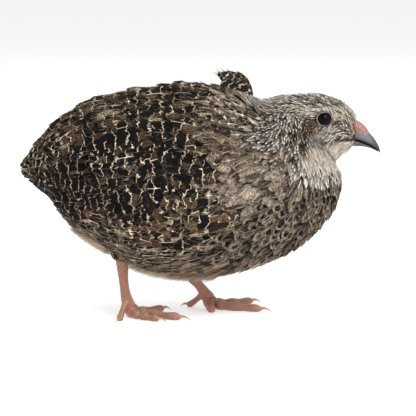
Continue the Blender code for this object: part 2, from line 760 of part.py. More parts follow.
def make_raised_scapulars(body, cutters):
    """Ruffled shoulder feathers that stand up behind the neck, on a pad that lies on the back."""
    rings = []
    for lift, size in RAISED_PAD_PROFILE:
        ring = []
        for j in range(RAISED_PAD_SIDES):
            turn = 2 * math.pi * j / RAISED_PAD_SIDES
            x = RAISED_CENTRE[0] + RAISED_SEMIAXES[0] * size * math.cos(turn)
            y = RAISED_CENTRE[1] + RAISED_SEMIAXES[1] * size * math.sin(turn)
            ring.append(back_point(x, y, SKIN_LIFT + RAISED_PAD_HEIGHT * lift))
        rings.append(ring)
    pieces = [piece("raised_pad", ring_loft("raised_pad", rings), cutters)]
    for x, y, lean, length in RAISED_VANES:
        lower = math.sin(math.radians(lean)) * RAISED_WIDTH / 2 * VANE_SHAPE[0][1]
        point = back_point(x, y, RAISED_ROOT_LIFT + lower)
        rows = []
        travelled = 0.0
        for share, breadth in VANE_SHAPE:
            bend = math.radians(lean * (RAISED_BEND[0] + RAISED_BEND[1] * share))
            along = Vector((-math.sin(bend), 0.0, math.cos(bend)))
            point = point + along * length * (share - travelled)
            travelled = share
            half = RAISED_WIDTH / 2 * breadth
            across = Vector((math.cos(bend), 0.0, math.sin(bend)))
            rows.append([point - across * half, point + across * half])
        pieces.append(sheet("raised", rows, VANE_THICKNESS, cutters))
    return fuse("raised_scapulars", pieces, body)


def eye_site(side):
    """The eyeball's centre and the direction it looks in, square to the head's surface."""
    place, angle = place_on_side(*EYE_PLACE)
    look = outward(place, angle)
    centre = trunk(place, angle) - look * (EYE_RADIUS - EYE_STANDS)
    return Vector((centre.x, centre.y * side, centre.z)), Vector((look.x, look.y * side, look.z))


def lid_ring(centre, look, home):
    """The bare rim round one eye."""
    depth = math.sqrt((EYE_RADIUS + GAP) ** 2 - LID_OPENING**2)
    bpy.ops.mesh.primitive_torus_add(
        major_segments=LID_SEGMENTS,
        minor_segments=LID_SIDES,
        major_radius=(LID_OPENING + LID_THICKNESS * 0.6) * MM,
        minor_radius=LID_THICKNESS * MM,
        location=(centre + look * (depth - LID_SINK)) * MM,
        rotation=look.to_track_quat("Z", "Y").to_euler(),
    )
    made = bpy.context.object
    mesh = made.data
    mesh.transform(made.matrix_world)
    bpy.data.objects.remove(made)
    return piece("lid", mesh, home)


def mouth_crease(side, home):
    """A thin bar that cuts the line of the mouth back from the bill to its corner."""
    ends = []
    for x, z in (GAPE_FRONT, GAPE_CORNER):
        ends.append(Vector((x, side * trunk(*place_on_side(x, z)).y, z)))
    along = ends[0] - ends[1]
    shape = bmesh.new()
    bmesh.ops.create_cube(shape, size=1.0)
    stretch = Matrix.Diagonal((along.length, 2 * GAPE_DEPTH, GAPE_HEIGHT, 1.0))
    turn = along.to_track_quat("X", "Z").to_matrix().to_4x4()
    move = Matrix.Translation((ends[0] + ends[1]) / 2)
    placed = Matrix.Scale(MM, 4) @ move @ turn @ stretch
    bmesh.ops.transform(shape, matrix=placed, verts=shape.verts)
    mesh = bpy.data.meshes.new("crease")
    shape.to_mesh(mesh)
    shape.free()
    return piece("crease", mesh, home)


def operculum(name, side, grow, home):
    """The swollen flap over one nostril."""
    x, y, z = OPERCULUM_CENTRE
    semiaxes = [a + grow for a in OPERCULUM_SEMIAXES]
    return ellipsoid(name, (x, y * side, z), semiaxes, home, 14, 7, OPERCULUM_PITCH)


def bill_half(name, stations, grow=0.0):
    """One half of the bill: rounded sections between an upper and a lower edge."""
    rings = []
    for upper, lower, half in stations:
        high, low = Vector((upper[0], 0, upper[1])), Vector((lower[0], 0, lower[1]))
        middle, reach = (high + low) / 2, (high - low) / 2
        stretch = 1 + grow / reach.length
        ring = []
        for j in range(BILL_SIDES):
            angle = 2 * math.pi * j / BILL_SIDES
            sideways = Vector((0, (half + grow) * math.sin(angle), 0))
            ring.append(middle + reach * stretch * math.cos(angle) + sideways)
        rings.append(ring)
    return ring_loft(name, rings)


def make_bill(body, cutters):
    """Upper and lower bill. The upper one has the flap over each nostril slit."""
    upper = piece("upper_loft", bill_half("upper_loft", UPPER_BILL), cutters)
    flaps = [operculum("flap", side, 0.0, cutters) for side in (1, -1)]
    slits = []
    for side in (1, -1):
        x, y, z = (a + b for a, b in zip(OPERCULUM_CENTRE, NOSTRIL_OFFSET))
        place = (x, side * y, z)
        slits.append(ellipsoid("slit", place, NOSTRIL_SEMIAXES, cutters, 10, 6, OPERCULUM_PITCH))
    fuse("upper_bill", [upper, *flaps], body, slits)
    piece("lower_bill", bill_half("lower_bill", LOWER_BILL), body)


def make_head(body, cutters):
    """Head with lids, and with room cut for the eyes, the bill and the line of the mouth."""
    loft = trunk_mesh("head_loft", "throat", "bill_base", GAP)
    pieces = [piece("head_loft", loft, cutters)]
    room = []
    for side, name in ((1, "eye_left"), (-1, "eye_right")):
        centre, look = eye_site(side)
        pieces.append(lid_ring(centre, look, cutters))
        room.append(
            ellipsoid("socket", centre, [EYE_RADIUS + GAP] * 3, cutters, EYE_SEGMENTS, EYE_RINGS)
        )
        ellipsoid(name, centre, [EYE_RADIUS] * 3, body, EYE_SEGMENTS, EYE_RINGS)
        room.append(operculum("flap_room", side, GAP, cutters))
        room.append(mouth_crease(side, cutters))
    room.append(piece("upper_room", bill_half("upper_room", UPPER_BILL, GAP), cutters))
    room.append(piece("lower_room", bill_half("lower_room", LOWER_BILL, GAP), cutters))
    return fuse("head", pieces, body, room)


def main():
    for obj in list(bpy.data.objects):
        bpy.data.objects.remove(obj)
    body = new_collection("coturnix_quail")
    cutters = new_collection("cutters", hidden=True)
    sockets = [make_leg(side, sizes, body, cutters) for side, sizes in LEGS.items()]
    torso = piece("torso_loft", trunk_mesh("torso_loft", "tail_root", "neck_root"), cutters)
    fuse("torso", [torso], body, sockets)
    piece("neck", trunk_mesh("neck", "neck_root", "throat", GAP), body)
    make_head(body, cutters)
    make_bill(body, cutters)
    mirrored(make_wing(body, cutters), "wing_right", body)
    make_tail(body, cutters)
    make_raised_scapulars(body, cutters)


main()
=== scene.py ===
"""Looks of a life-size coturnix quail: skin, plumage, eyes, bill, feet and a plain studio.

Lengths in the tables are millimetres, as in the solid model's own source, and every mesh is scaled
to metres when it is made. The bird faces +X, its left side is at +Y, and it stands on z = 0.
A place counts trunk sections from the tail, and an angle goes round from the top towards +Y.
"""
import math
from itertools import product

import bmesh
import bpy
import numpy as np
from bpy.props import FloatProperty, FloatVectorProperty, IntProperty, PointerProperty
from mathutils import Matrix, Vector


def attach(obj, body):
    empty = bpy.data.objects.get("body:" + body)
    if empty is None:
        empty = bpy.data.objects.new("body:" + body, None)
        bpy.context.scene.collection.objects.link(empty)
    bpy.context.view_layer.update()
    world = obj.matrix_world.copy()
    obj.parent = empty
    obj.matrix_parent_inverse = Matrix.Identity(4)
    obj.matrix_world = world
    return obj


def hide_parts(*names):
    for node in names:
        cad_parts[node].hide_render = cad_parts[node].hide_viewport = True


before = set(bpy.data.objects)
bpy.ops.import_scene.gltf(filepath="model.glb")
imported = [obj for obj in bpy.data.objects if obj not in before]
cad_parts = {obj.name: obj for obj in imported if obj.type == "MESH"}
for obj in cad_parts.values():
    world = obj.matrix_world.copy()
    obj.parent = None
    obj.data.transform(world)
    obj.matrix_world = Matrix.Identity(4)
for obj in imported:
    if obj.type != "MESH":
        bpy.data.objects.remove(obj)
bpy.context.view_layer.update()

bl_info = {
    "name": "Coturnix quail",
    "version": (1, 0, 0),
    "blender": (4, 5, 0),
    "location": "View3D > Sidebar > Quail",
    "description": "Dresses the solid model of a coturnix quail with skin, feathers, eyes and feet",
    "category": "Object",
}

MM = 0.001
SIDES = {"left": 1, "right": -1}

# Trunk sections from tail to bill: top x, top z, bottom x, bottom z, half width, and how far down
# from the top the section is widest, as a share of its height.
SECTIONS = (
    (-72.6, 67.8, -72.0, 61.8, 4.5, 0.50),
    (-68.8, 74.8, -68.0, 57.4, 10.0, 0.48),
    (-64.2, 81.7, -63.0, 48.4, 16.0, 0.46),
    (-56.5, 87.9, -55.0, 38.4, 23.0, 0.47),
    (-44.5, 93.6, -42.0, 29.5, 30.0, 0.49),
    (-28.5, 97.5, -25.5, 19.9, 34.2, 0.50),
    (-11.0, 99.5, -7.5, 16.7, 35.6, 0.50),
    (5.0, 99.3, 11.0, 17.7, 35.2, 0.51),
    (16.0, 96.6, 29.0, 23.1, 33.5, 0.52),
    (23.0, 94.0, 44.0, 31.3, 30.0, 0.52),
    (27.5, 93.5, 55.0, 42.2, 26.0, 0.52),
    (30.8, 94.3, 60.0, 53.5, 21.5, 0.50),
    (34.2, 95.1, 60.0, 61.0, 17.5, 0.48),
    (38.6, 95.4, 57.8, 66.6, 14.0, 0.46),
    (43.5, 95.8, 60.4, 68.3, 12.2, 0.44),
    (49.0, 95.9, 62.4, 69.4, 11.6, 0.42),
    (54.6, 94.8, 64.0, 70.2, 11.0, 0.42),
    (60.1, 92.6, 65.0, 70.8, 9.0, 0.46),
    (64.6, 89.0, 66.0, 71.6, 6.7, 0.50),
    (68.2, 84.3, 66.6, 72.6, 4.5, 0.52),
)
LAST_PLACE = len(SECTIONS) - 1.0
THROAT_PLACE = 13.0

# How deep the skin lies under the outline of the plumage, at places from tail to bill.
SKIN_DEPTHS = (
    (0.0, 0.8), (2.0, 1.6), (4.0, 2.0), (8.5, 2.0), (10.5, 1.5), (12.5, 1.0), (14.5, 0.7),
    (17.2, 0.6), (18.2, 1.2), (19.0, 1.8),
)

# The eye in side view (x, z), the ball's radius and how far it stands out, the cornea's bulge as a
# share of that radius and the polar angle where it ends, and the half width of the lids' opening.
EYE_PLACE = (52.1, 86.0)
EYE_RADIUS = 4.2
EYE_STANDS = 0.8
CORNEA_BULGE = 0.035
CORNEA_EDGE = 0.75
LID_OPENING = 2.95
# Folds of the lid: how far outside the opening, radius of the fold, and how deep it sits.
LID_FOLDS = ((0.08, 0.13, 0.08), (0.34, 0.14, 0.44), (0.60, 0.16, 0.80))
# The nearness to an eye at which feathers turn away from it, how far from the middle plane they
# grow, over what distance they turn more and more, and the least length that they are cut to.
EYE_REACH, EYE_SIDE, EYE_EASE, LEAST_LENGTH = 9.0, 4.0, 5.0, 0.6
# The crease of the mouth in side view (x, z).
GAPE_CORNER = (59.6, 76.9)
GAPE_FRONT = (69.0, 75.4)

# What a zone of plumage has unless its row says otherwise. Feathers turn down from straight aft and
# lie ruffled by these degrees. The other numbers are shares: of crossbars and of cells between them
# that are dark, of feathers with a pale shaft, of pale fringe, of dark crescent inside the fringe,
# which is partly the feather's own mark and partly painted shade between overlapping feathers, of
# mottling, and of feathers that are dark or light all over. The bar gap is a length, and march
# is how far the bars of neighbouring feathers line up.
PLAIN_PATTERN = {
    "turn": 5, "ruffle": 9, "bars": 0, "bar_gap": 4.4, "march": 0.3, "cell": 0, "shaft": 0.2,
    "edge": 0.2, "crescent": 0, "mottle": 0.5, "darks": 0.1, "lights": 0.1,
}


def zone(line, reach, gap, length, width, ground, mark, pale, **pattern):
    """A zone along a line in side view (x, z), its reach, its feathers and its three colours."""
    return {
        "line": line, "reach": reach, "gap": gap, "length": length, "width": width,
        "ground": ground, "mark": mark, "pale": pale, **PLAIN_PATTERN, **pattern,
    }


ZONES = {
    "back": zone(((-48, 92), (4, 97)), 9, 4.1, 14, 9.6, "brown", "black", "cream",
                 ruffle=13, bars=0.85, bar_gap=4.9, cell=0.7, shaft=0.3, edge=0.1, mottle=0.8, march=0.68,
                 lights=0.14),
    "scapular": zone(((-32, 76), (4, 70)), 12, 4.1, 14, 9.8, "brown", "black", "cream",
                     turn=4, ruffle=13, bars=0.92, bar_gap=4.9, march=0.68, cell=0.82, shaft=0.18,
                     edge=0.1, mottle=0.9),
    "rump": zone(((-68, 72), (-54, 82)), 8, 3.2, 10, 6.6, "brown", "black", "cream",
                 turn=14, ruffle=13, bars=0.85, bar_gap=3.6, march=0.72, cell=0.68, shaft=0.12,
                 edge=0.15, mottle=0.8),
    "rear_flank": zone(((-56, 60), (-30, 52)), 10, 3.5, 13, 8.4, "rufous", "black", "sand",
                       turn=28, ruffle=7, bars=0.9, bar_gap=3.8, march=0.95, cell=0.95, shaft=0.08,
                       edge=0, mottle=0.6, lights=0.0),
    "flank": zone(((-36, 42), (8, 42)), 6, 3.1, 12, 6.4, "tawny", "black", "cream",
                  turn=4, ruffle=10, bars=0.66, bar_gap=4.2, cell=0.5, shaft=0.35, edge=0.15,
                  mottle=0.7, lights=0.2, march=0.7),
    "rear_belly": zone(((-46, 34), (-14, 22)), 7, 2.7, 12, 4.4, "tawny", "black", "cream",
                       turn=-6, ruffle=6, bars=0.3, cell=0.7, shaft=0.5, edge=0.5, darks=0.7,
                       mottle=0.8, bar_gap=3.8, march=0.5),
    "mantle": zone(((8, 92), (22, 86)), 6, 2.5, 8, 4.4, "taupe", "black", "cream",
                   turn=9, ruffle=15, bars=0.5, bar_gap=3.2, cell=0.4, shaft=0.5, edge=0.2,
                   mottle=0.8, darks=0.2, lights=0.48),
    "mantle_side": zone(((8, 80), (20, 72)), 6, 2.5, 8.5, 4.2, "taupe", "umber", "sand",
                        turn=12, ruffle=15, bars=0.3, bar_gap=3.2, cell=0.25, shaft=0.5, edge=0.3,
                        mottle=0.9, darks=0.2, lights=0.25),
    "wing_front": zone(((8, 62), (10, 52)), 5, 2.8, 10, 5.6, "taupe", "black", "cream",
                       turn=5, ruffle=14, bars=0.62, cell=0.4, shaft=0.5, edge=0.2, mottle=0.8, lights=0.45),
    "shoulder": zone(((20, 62), (36, 60)), 9, 2.3, 8, 3.9, "dun", "umber", "bone",
                     turn=8, ruffle=18, cell=0.05, shaft=0.35, edge=0.3, mottle=0.7, darks=0.14,
                     lights=0.42),
    "breast_side": zone(((32, 50), (46, 52)), 6, 2.6, 7, 4.6, "taupe", "black", "sand",
                        turn=2, ruffle=15, shaft=0.2, edge=0.6, crescent=1.7, mottle=0.6,
                        darks=0.3, lights=0.3),
    "breast_front": zone(((57, 58), (56, 42)), 6, 2.5, 6, 4.4, "taupe", "black", "sand",
                         turn=0, ruffle=12, shaft=0.15, edge=0.9, crescent=2.2, darks=0.3, lights=0.15,
                         mottle=0.6),
    "lower_breast": zone(((16, 34), (42, 36)), 7, 2.7, 7, 5.0, "taupe", "black", "sand",
                         turn=0, ruffle=14, shaft=0.15, edge=0.65, crescent=1.7, darks=0.3,
                         lights=0.25, mottle=0.6),
    "belly": zone(((-10, 19), (30, 20)), 5, 2.6, 11.0, 3.2, "fawn", "black", "sand",
                  turn=0, ruffle=6, shaft=0.6, edge=0.6, crescent=0.4, darks=0.35, lights=0.2),
    "vent": zone(((-62, 42), (-50, 31)), 2.2, 2.4, 8, 4.0, "taupe", "umber", "grey",
                 turn=0, ruffle=14, shaft=0.1, edge=0.3, darks=0.1, lights=0.4),
    "under_tail": zone(((-69, 62), (-59, 49)), 3.5, 2.8, 12, 4.6, "slate", "black", "grey",
                       turn=-8, ruffle=5, cell=0.1, shaft=0.2, edge=0.25, darks=0.2, lights=0.1),
    "hind_neck": zone(((24, 93), (37, 94)), 3.2, 0.85, 3.6, 1.0, "buff", "black", "white",
                      turn=4, ruffle=9, shaft=0.7, edge=0.1, darks=0.2, lights=0.62),
    "neck_side": zone(((25, 82), (38, 86)), 6, 1.05, 4.2, 1.15, "dun", "black", "white",
                      turn=24, ruffle=7, shaft=0.85, edge=0.1, mottle=0.6, darks=0.3, lights=0.12),
    "neck_base": zone(((28, 71), (39, 71)), 3.5, 1.6, 5, 2.1, "dun", "umber", "bone",
                      turn=20, ruffle=14, shaft=0.7, edge=0.2, mottle=0.7, darks=0.25, lights=0.18),
    "collar": zone(((38.8, 67), (41, 77)), 2.2, 1.2, 3.6, 1.6, "taupe", "black", "white",
                   turn=16, ruffle=14, shaft=0.5, edge=0.5, crescent=0.5, darks=0.4, lights=0.2),
    "throat": zone(((45.8, 71.5), (60, 71.5)), 4.5, 0.7, 5.0, 1.05, "ivory", "tan", "white",
                   turn=26, ruffle=5, edge=0.1, darks=0.06, lights=0.5, mottle=0.08),
    "throat_tips": zone(((44.5, 65.5), (58, 63)), 3.0, 1.1, 5.0, 1.9, "grey", "black", "white",
                        turn=14, ruffle=10, edge=0.5, crescent=0.7, darks=0.36, lights=0.3,
                        mottle=0.15),
    "collar_spots": zone(((44.5, 73), (43.8, 69.5)), 1.0, 1.2, 3.0, 1.7, "black", "black", "umber",
                         turn=10, darks=0.8, lights=0),
    "malar": zone(((43.5, 78.5), (43.0, 75)), 1.2, 1.0, 3.0, 1.5, "umber", "black", "bone",
                  turn=10, darks=0.75, lights=0.05),
    "moustache": zone(((60.5, 77.0), (50.5, 76.2)), 0.75, 0.62, 2.8, 0.7, "umber", "black", "bone",
                      turn=4, ruffle=5, darks=0.8, lights=0.05),
    "cheek": zone(((47, 79), (60, 79.3)), 1.9, 0.65, 3.2, 0.62, "buff", "black", "white",
                  turn=12, ruffle=9, darks=0.42, lights=0.28),
    "ear": zone(((48, 84.8), (39.5, 82.2)), 2.7, 0.72, 3.0, 0.85, "brown", "black", "sand",
                turn=6, ruffle=11, darks=0.5, lights=0.24),
    "eyebrow": zone(((63.5, 87.6), (40, 90.4)), 1.7, 0.68, 3.2, 0.7, "cream", "umber", "white",
                    turn=2, ruffle=7, darks=0.2, lights=0.45),
    "crown": zone(((63, 92.6), (38, 97)), 2.5, 1.1, 2.4, 1.35, "tan", "black", "white",
                  turn=0, ruffle=14, edge=0.3, darks=0.62, lights=0.36),
    "forehead": zone(((65.5, 88.5), (67.5, 85)), 2.3, 0.68, 2.2, 0.65, "cream", "umber", "white",
                     turn=0, ruffle=9, darks=0.15, lights=0.6),
    "lores": zone(((60.5, 83.5), (64.0, 79.8)), 1.5, 0.65, 2.4, 0.62, "fawn", "black", "white",
                  turn=4, ruffle=11, darks=0.5, lights=0.18),
    "gape": zone(((60.0, 76.9), (66.5, 76.2)), 0.5, 0.5, 1.8, 0.5, "umber", "black", "tan",
                 turn=2, ruffle=3, darks=0.85, lights=0.05),
    "bill_root": zone(((65.2, 77.4), (67.2, 78.4)), 1.1, 0.7, 0.8, 0.6, "slate", "black", "slate",
                      turn=2, ruffle=3, darks=0.1, lights=0),
    "loral_spot": zone(((57.5, 84.6), (59.5, 83.9)), 0.55, 0.7, 2.2, 0.7, "umber", "black", "sand",
                       turn=4, darks=0.5, lights=0.05),
    "chin": zone(((61, 74), (67, 74)), 1.6, 0.6, 3.2, 0.85, "ivory", "tan", "white",
                 turn=10, ruffle=5, darks=0.06, lights=0.5, mottle=0.08),
}
NUMBER_FIELDS = ("gap", "length", "width", *PLAIN_PATTERN)
COLOUR_FIELDS = ("ground", "mark", "pale")
# Where the bars that line up are counted from, and the march over which they are.
BAR_PIVOT = (-44.0, 0.0, 56.0)
MARCH_START = 0.6
# How much shorter feathers are near the tail: places, and shares of the zone's length.
TAIL_SHORTENING = ((0, 2.6), (0.45, 1.0))
# How sharply zones part, from the body to the head: x, and the power of the distance.
ZONE_SHARPNESS = ((36, 46), (5.0, 8.0))

# The folded wing: centre and semiaxes in side view of the swelling it makes, and its height.
WING_CENTRE = (-14.0, 64.0)
WING_SEMIAXES = (42.0, 26.0)
WING_SWELL = 3.0
# The places between which coverts grow, how far aft they grow in x, and the shares of the swelling
# from which they grow and from which the body's own feathers don't.
COVERT_PLACES = (2.5, 9.4)
COVERTS_END = -26
COVERTS_FROM, BODY_UNTIL = 0.15, 0.72
# The line under the chin that is drawn in, how far the hollow reaches from it, and its depth.
CHIN_LINE = ((61.5, 69.2), (66.5, 72.2))
CHIN_REACH = 4.5
CHIN_TUCK = 1.3
# Long wing feathers: how many, the first and last root in side view (x, z), the first and last
# heading in degrees below straight aft, the first and last length, the width, and the height of the
# vane above the trunk at its root and at its tip.
WING_TIERS = {
    "primaries": (9, (-21, 46), (-27, 60), (-13, 1), (40, 39), 7.0, (0.9, 1.4)),
    "secondaries": (10, (-2, 46), (-12, 69), (-7, 6), (36, 40), 9.0, (1.2, 2.2)),
    "tertials": (6, (-12, 72), (-8, 85), (7, 13), (34, 42), 11.0, (1.4, 2.8)),
    "greater_coverts": (9, (12, 46), (5, 75), (-2, 10), (19, 22), 10.0, (1.2, 3.2)),
}

RECTRIX_COUNT = 10
RECTRIX_ROOT = (-69.0, 0.0, 67.2)
RECTRIX_LENGTH = 8.0
RECTRIX_WIDTH = 4.6
RECTRIX_SPREAD = math.radians(76)
RECTRIX_DROP = math.radians(22)
RECTRIX_ROOT_SPREAD = 4.4
RECTRIX_CROWN = 4.6
# Rings of tail coverts: place, how many, where they close (x, half width, lowest and highest z) and
# how much shorter than that they stop.
TAIL_COVERTS = (
    (0.5, 16, (-76.8, 2.6, 61.2, 65.4), 1.0),
    (0.9, 18, (-76.2, 3.6, 60.4, 67.0), 0.97),
    (1.4, 20, (-74.0, 5.6, 59.0, 70.4), 0.95),
    (2.0, 22, (-72.0, 8.0, 57.5, 73.5), 0.95),
)

# Ruffled feathers of the left shoulder: root x, y and z, lean aft in degrees, length and width.
RAISED_VANES = (
    (21.6, 5.6, 93.8, 22, 12.2, 4.6),
    (20.4, 4.4, 94.0, 27, 12.8, 5.4),
    (19.4, 5.2, 94.4, 32, 13.2, 5.8),
    (18.4, 3.8, 94.8, 36, 13.4, 5.4),
    (17.4, 4.8, 95.2, 41, 13.6, 4.8),
    (16.6, 3.6, 95.6, 44, 9.4, 5.2),
    (15.6, 5.4, 95.8, 52, 8.0, 4.4),
    (20.8, 3.4, 94.2, 30, 9.4, 5.0),
    (19.8, 5.6, 94.2, 31, 14.2, 1.0),
    (18.8, 5.4, 94.6, 36, 14.6, 1.0),
    (18.0, 5.6, 95.0, 41, 14.8, 1.1),
    (17.2, 5.2, 95.2, 46, 14.4, 1.0),
)
# Narrower ones are loose wisps, pale and plain.
WISP_WIDTH = 1.5
RAISED_BAR_GAP = 2.9

# The bill in side view: upper and lower edge (x, z) and half width, from the root to the tip.
UPPER_BILL = (
    (63.0, 83.2, 62.4, 76.6, 3.5),
    (66.6, 83.0, 65.8, 76.2, 3.9),
    (69.4, 81.7, 69.0, 75.3, 3.8),
    (72.2, 78.9, 72.2, 74.0, 3.0),
    (74.6, 75.8, 74.5, 72.6, 2.0),
    (76.2, 72.9, 75.9, 71.3, 1.1),
    (76.8, 70.8, 76.6, 70.4, 0.35),
)
LOWER_BILL = (
    (62.6, 76.2, 63.6, 73.0, 3.4),
    (66.0, 75.8, 66.6, 73.1, 3.5),
    (69.1, 74.9, 69.5, 73.0, 3.0),
    (72.2, 73.6, 72.4, 72.3, 2.1),
    (74.5, 72.2, 74.5, 71.4, 1.2),
    (75.7, 71.0, 75.7, 70.7, 0.5),
)
# Where the halves of the bill meet in side view, from the corner of the mouth to the tip.
MOUTH = ((61.0, 76.6), (66.0, 76.0), (69.1, 75.0), (72.2, 73.7), (74.5, 72.3), (75.9, 71.0))
OPERCULUM_CENTRE = (68.0, 3.3, 81.0)
OPERCULUM_SEMIAXES = (4.2, 1.5, 2.0)
OPERCULUM_PITCH = math.radians(40)
OPERCULUM_NARROWING = 0.24

# Legs: thigh cuff top and bottom, the shank's path down to the foot, the ball of the foot, and
# where each toe starts, bends and ends on the ground (x, y).
LEGS = {
    "right": {
        "cuff": ((-34.6, -10.6, 36.0), (-33.8, -9.8, 25.4)),
        "shank": ((-33.0, -9.0, 15.5), (-32.2, -8.2, 9.5), (-30.8, -7.5, 4.6)),
        "ball": (-29.6, -7.2, 3.0),
        "toes": {
            "hallux": ((-32.0, -8.8), (-33.8, -12.4), (-34.7, -15.6)),
            "inner_toe": ((-29.6, -5.0), (-24.0, 0.2), (-16.4, 6.4)),
            "middle_toe": ((-28.6, -6.9), (-20.4, -9.6), (-8.6, -13.6)),
            "outer_toe": ((-29.6, -9.2), (-24.4, -12.6), (-18.0, -16.2)),
        },
    },
    "left": {
        "cuff": ((-11.5, 10.8, 27.0), (-4.9, 10.6, 15.8)),
        "shank": ((-1.2, 10.8, 10.9), (0.9, 11.2, 8.0), (3.0, 11.6, 4.8)),
        "ball": (4.0, 11.6, 3.0),
        "toes": {
            "hallux": ((1.2, 12.2), (-2.6, 14.2), (-6.0, 15.6)),
            "inner_toe": ((4.0, 9.4), (4.2, 5.6), (4.7, 2.2)),
            "middle_toe": ((5.0, 11.0), (13.4, 7.4), (26.4, 4.2)),
            "outer_toe": ((4.6, 13.2), (12.6, 18.0), (23.0, 23.6)),
        },
    },
}
CUFF_RADII = (6.0, 3.2)
SHANK_RADII = (2.7, 2.05, 2.3, 2.9)
BALL_SEMIAXES = (3.2, 3.6, 3.2)
# Each toe: radius at the root, number of pads, the height of its root above the ground, and the
# share of its length where it comes down to it.
TOES = {
    "hallux": (1.3, 1, 7.0, 0.95),
    "inner_toe": (1.6, 2, 2.6, 0.42),
    "middle_toe": (1.8, 3, 2.8, 0.30),
    "outer_toe": (1.6, 3, 2.6, 0.42),
}
TOE_TAPER = 0.30
TOE_ARCH = 1.5
PAD_SWELL = 0.15
TOE_FULLNESS = 1.2
LAST_PAD = 0.88
SOLE_PRESS = 0.22
SCUTE_LENGTH = 1.45
SCUTE_RELIEF = 0.2
CLAW_LENGTH = {"hallux": 3.4, "inner_toe": 4.0, "middle_toe": 4.6, "outer_toe": 3.9}
CLAW_RADIUS = 0.78
CLAW_TIP_RADIUS = 0.10

# Rings of points along the skin, and points round each.
SKIN_RINGS, SKIN_SIDES = 153, 96
# The places where the coat of the body, the neck and the head starts, and where the head's ends.
BODY_START, NECK_START, HEAD_START, HEAD_END = 0.25, 9.8, 12.8, 18.9
# Bands of body feathers from tail to neck, between places.
BODY_BANDS = (("rear", 0.0, 3.8), ("middle", 3.8, 6.6), ("front", 6.6, 8.4), ("breast", 8.4, 9.81))
# Rows and columns of points on one vane.
VANE_GRIDS = {
    "body": (11, 7), "neck": (7, 3), "head": (6, 3), "flight": (16, 7), "tail": (12, 7),
    "tail_coverts": (10, 7), "raised": (14, 9),
}
# Cells that the outline is cut into to strew roots, along and round.
CELLS_ALONG, CELLS_AROUND = 420, 300
# How wide one feather's or strand's patch is on the flat unwrap that every coat piece shares.
BAKE_PATCH = 0.003
# Lines in side view (x, z) along which down grows, at the vent and along the belly.
DOWN_VENT = ((-66, 50), (-42, 31))
DOWN_BELLY = ((-36, 24), (6, 16))
# The places between which down and loose barbs grow.
DOWN_PLACES = (1.0, 9.0)
BARB_PLACES = (0.6, 18.6)
# The inputs of the strands' node tree with their kinds, and one strand's sides, segments and bend.
STRAND_INPUTS = {
    "Points": "Geometry", "Sides": "Int", "Segments": "Int", "Bend": "Float", "Material": "Material",
}
STRAND_SIZES = {"Sides": 3, "Segments": 3, "Bend": 1.2}
# The corner in side view (x, z) in front of which and above which the bill is bare.
HORN_START = (64.4, 75.4)

# Colours of fine details on the bare parts.
TINTS = {
    "iris_dark": (0.004, 0.003, 0.003),
    "iris_light": (0.011, 0.006, 0.005),
    "pupil": (0.002, 0.002, 0.003),
    "eye_edge": (0.010, 0.007, 0.006),
    "rim_dark": (0.150, 0.150, 0.165),
    "rim_light": (0.40, 0.41, 0.44),
    "rim_grain": (0.10, 0.09, 0.09),
    "outer_fold": (0.115, 0.085, 0.062),
    "bill_tip": (0.010, 0.009, 0.010),
    "lower_bill": (0.022, 0.019, 0.018),
    "gape": (0.36, 0.17, 0.11),
    "worn_horn": (0.42, 0.31, 0.21),
    "mouth_line": (0.010, 0.009, 0.009),
    "blush": (0.440, 0.140, 0.100),
    "scale_edge": (0.46, 0.33, 0.22),
    "scute": (0.47, 0.315, 0.19),
    "scute_gap": (0.16, 0.055, 0.040),
}
# Pigments of the plumage and colours of the bare parts: what each is for, and its value.
COLOURS = {
    "black": ("Back and blotches", (0.0050, 0.0052, 0.0062)),
    "umber": ("Dark brown", (0.034, 0.022, 0.015)),
    "rufous": ("Rear flank", (0.056, 0.024, 0.011)),
    "brown": ("Mottling of the back", (0.135, 0.080, 0.046)),
    "tawny": ("Flank", (0.172, 0.098, 0.054)),
    "dun": ("Middle of the shoulder", (0.400, 0.325, 0.260)),
    "ivory": ("Throat and chin", (0.610, 0.505, 0.385)),
    "tan": ("Side of the neck", (0.480, 0.345, 0.225)),
    "fawn": ("Neck and belly", (0.300, 0.205, 0.130)),
    "taupe": ("Shoulder", (0.300, 0.238, 0.180)),
    "grey": ("Cheek and vent", (0.370, 0.330, 0.290)),
    "sand": ("Pale fringes", (0.500, 0.385, 0.275)),
    "buff": ("Eyebrow", (0.560, 0.450, 0.340)),
    "cream": ("Bars and shafts", (0.800, 0.650, 0.470)),
    "jet": ("Raised feathers", (0.022, 0.022, 0.024)),
    "slate": ("Under the tail", (0.070, 0.066, 0.068)),
    "bone": ("Throat", (0.640, 0.535, 0.420)),
    "white": ("Flecks", (0.900, 0.850, 0.770)),
    "bill": ("Horn of the bill", (0.115, 0.125, 0.150)),
    "flesh": ("Flap over the nostril", (0.310, 0.150, 0.132)),
    "leg": ("Scaled skin", (0.300, 0.150, 0.098)),
    "claw": ("Horn of the claws", (0.480, 0.290, 0.150)),
}

# The middle of the picture in metres, and the lamps: offset from it and size in metres, and share of
# the main lamp's power.
PICTURE_MIDDLE = (0.003, 0.0, 0.0464)
LAMPS = {
    "key": ((0.40, -0.80, 0.90), 0.5, 1.0),
    "fill": ((0.9, -0.7, 0.6), 0.9, 0.3),
    "top": ((0.0, 0.5, 1.1), 1.0, 0.6),
}
FLOOR_SIZE = 12.0


class PlumageColours(bpy.types.PropertyGroup):
    """Pigments that the zones of plumage are mixed from, and the colours of the bare parts."""

    __annotations__ = {
        name: FloatVectorProperty(name=name.capitalize(), description=use, subtype="COLOR", default=default)
        for name, (use, default) in COLOURS.items()
    }


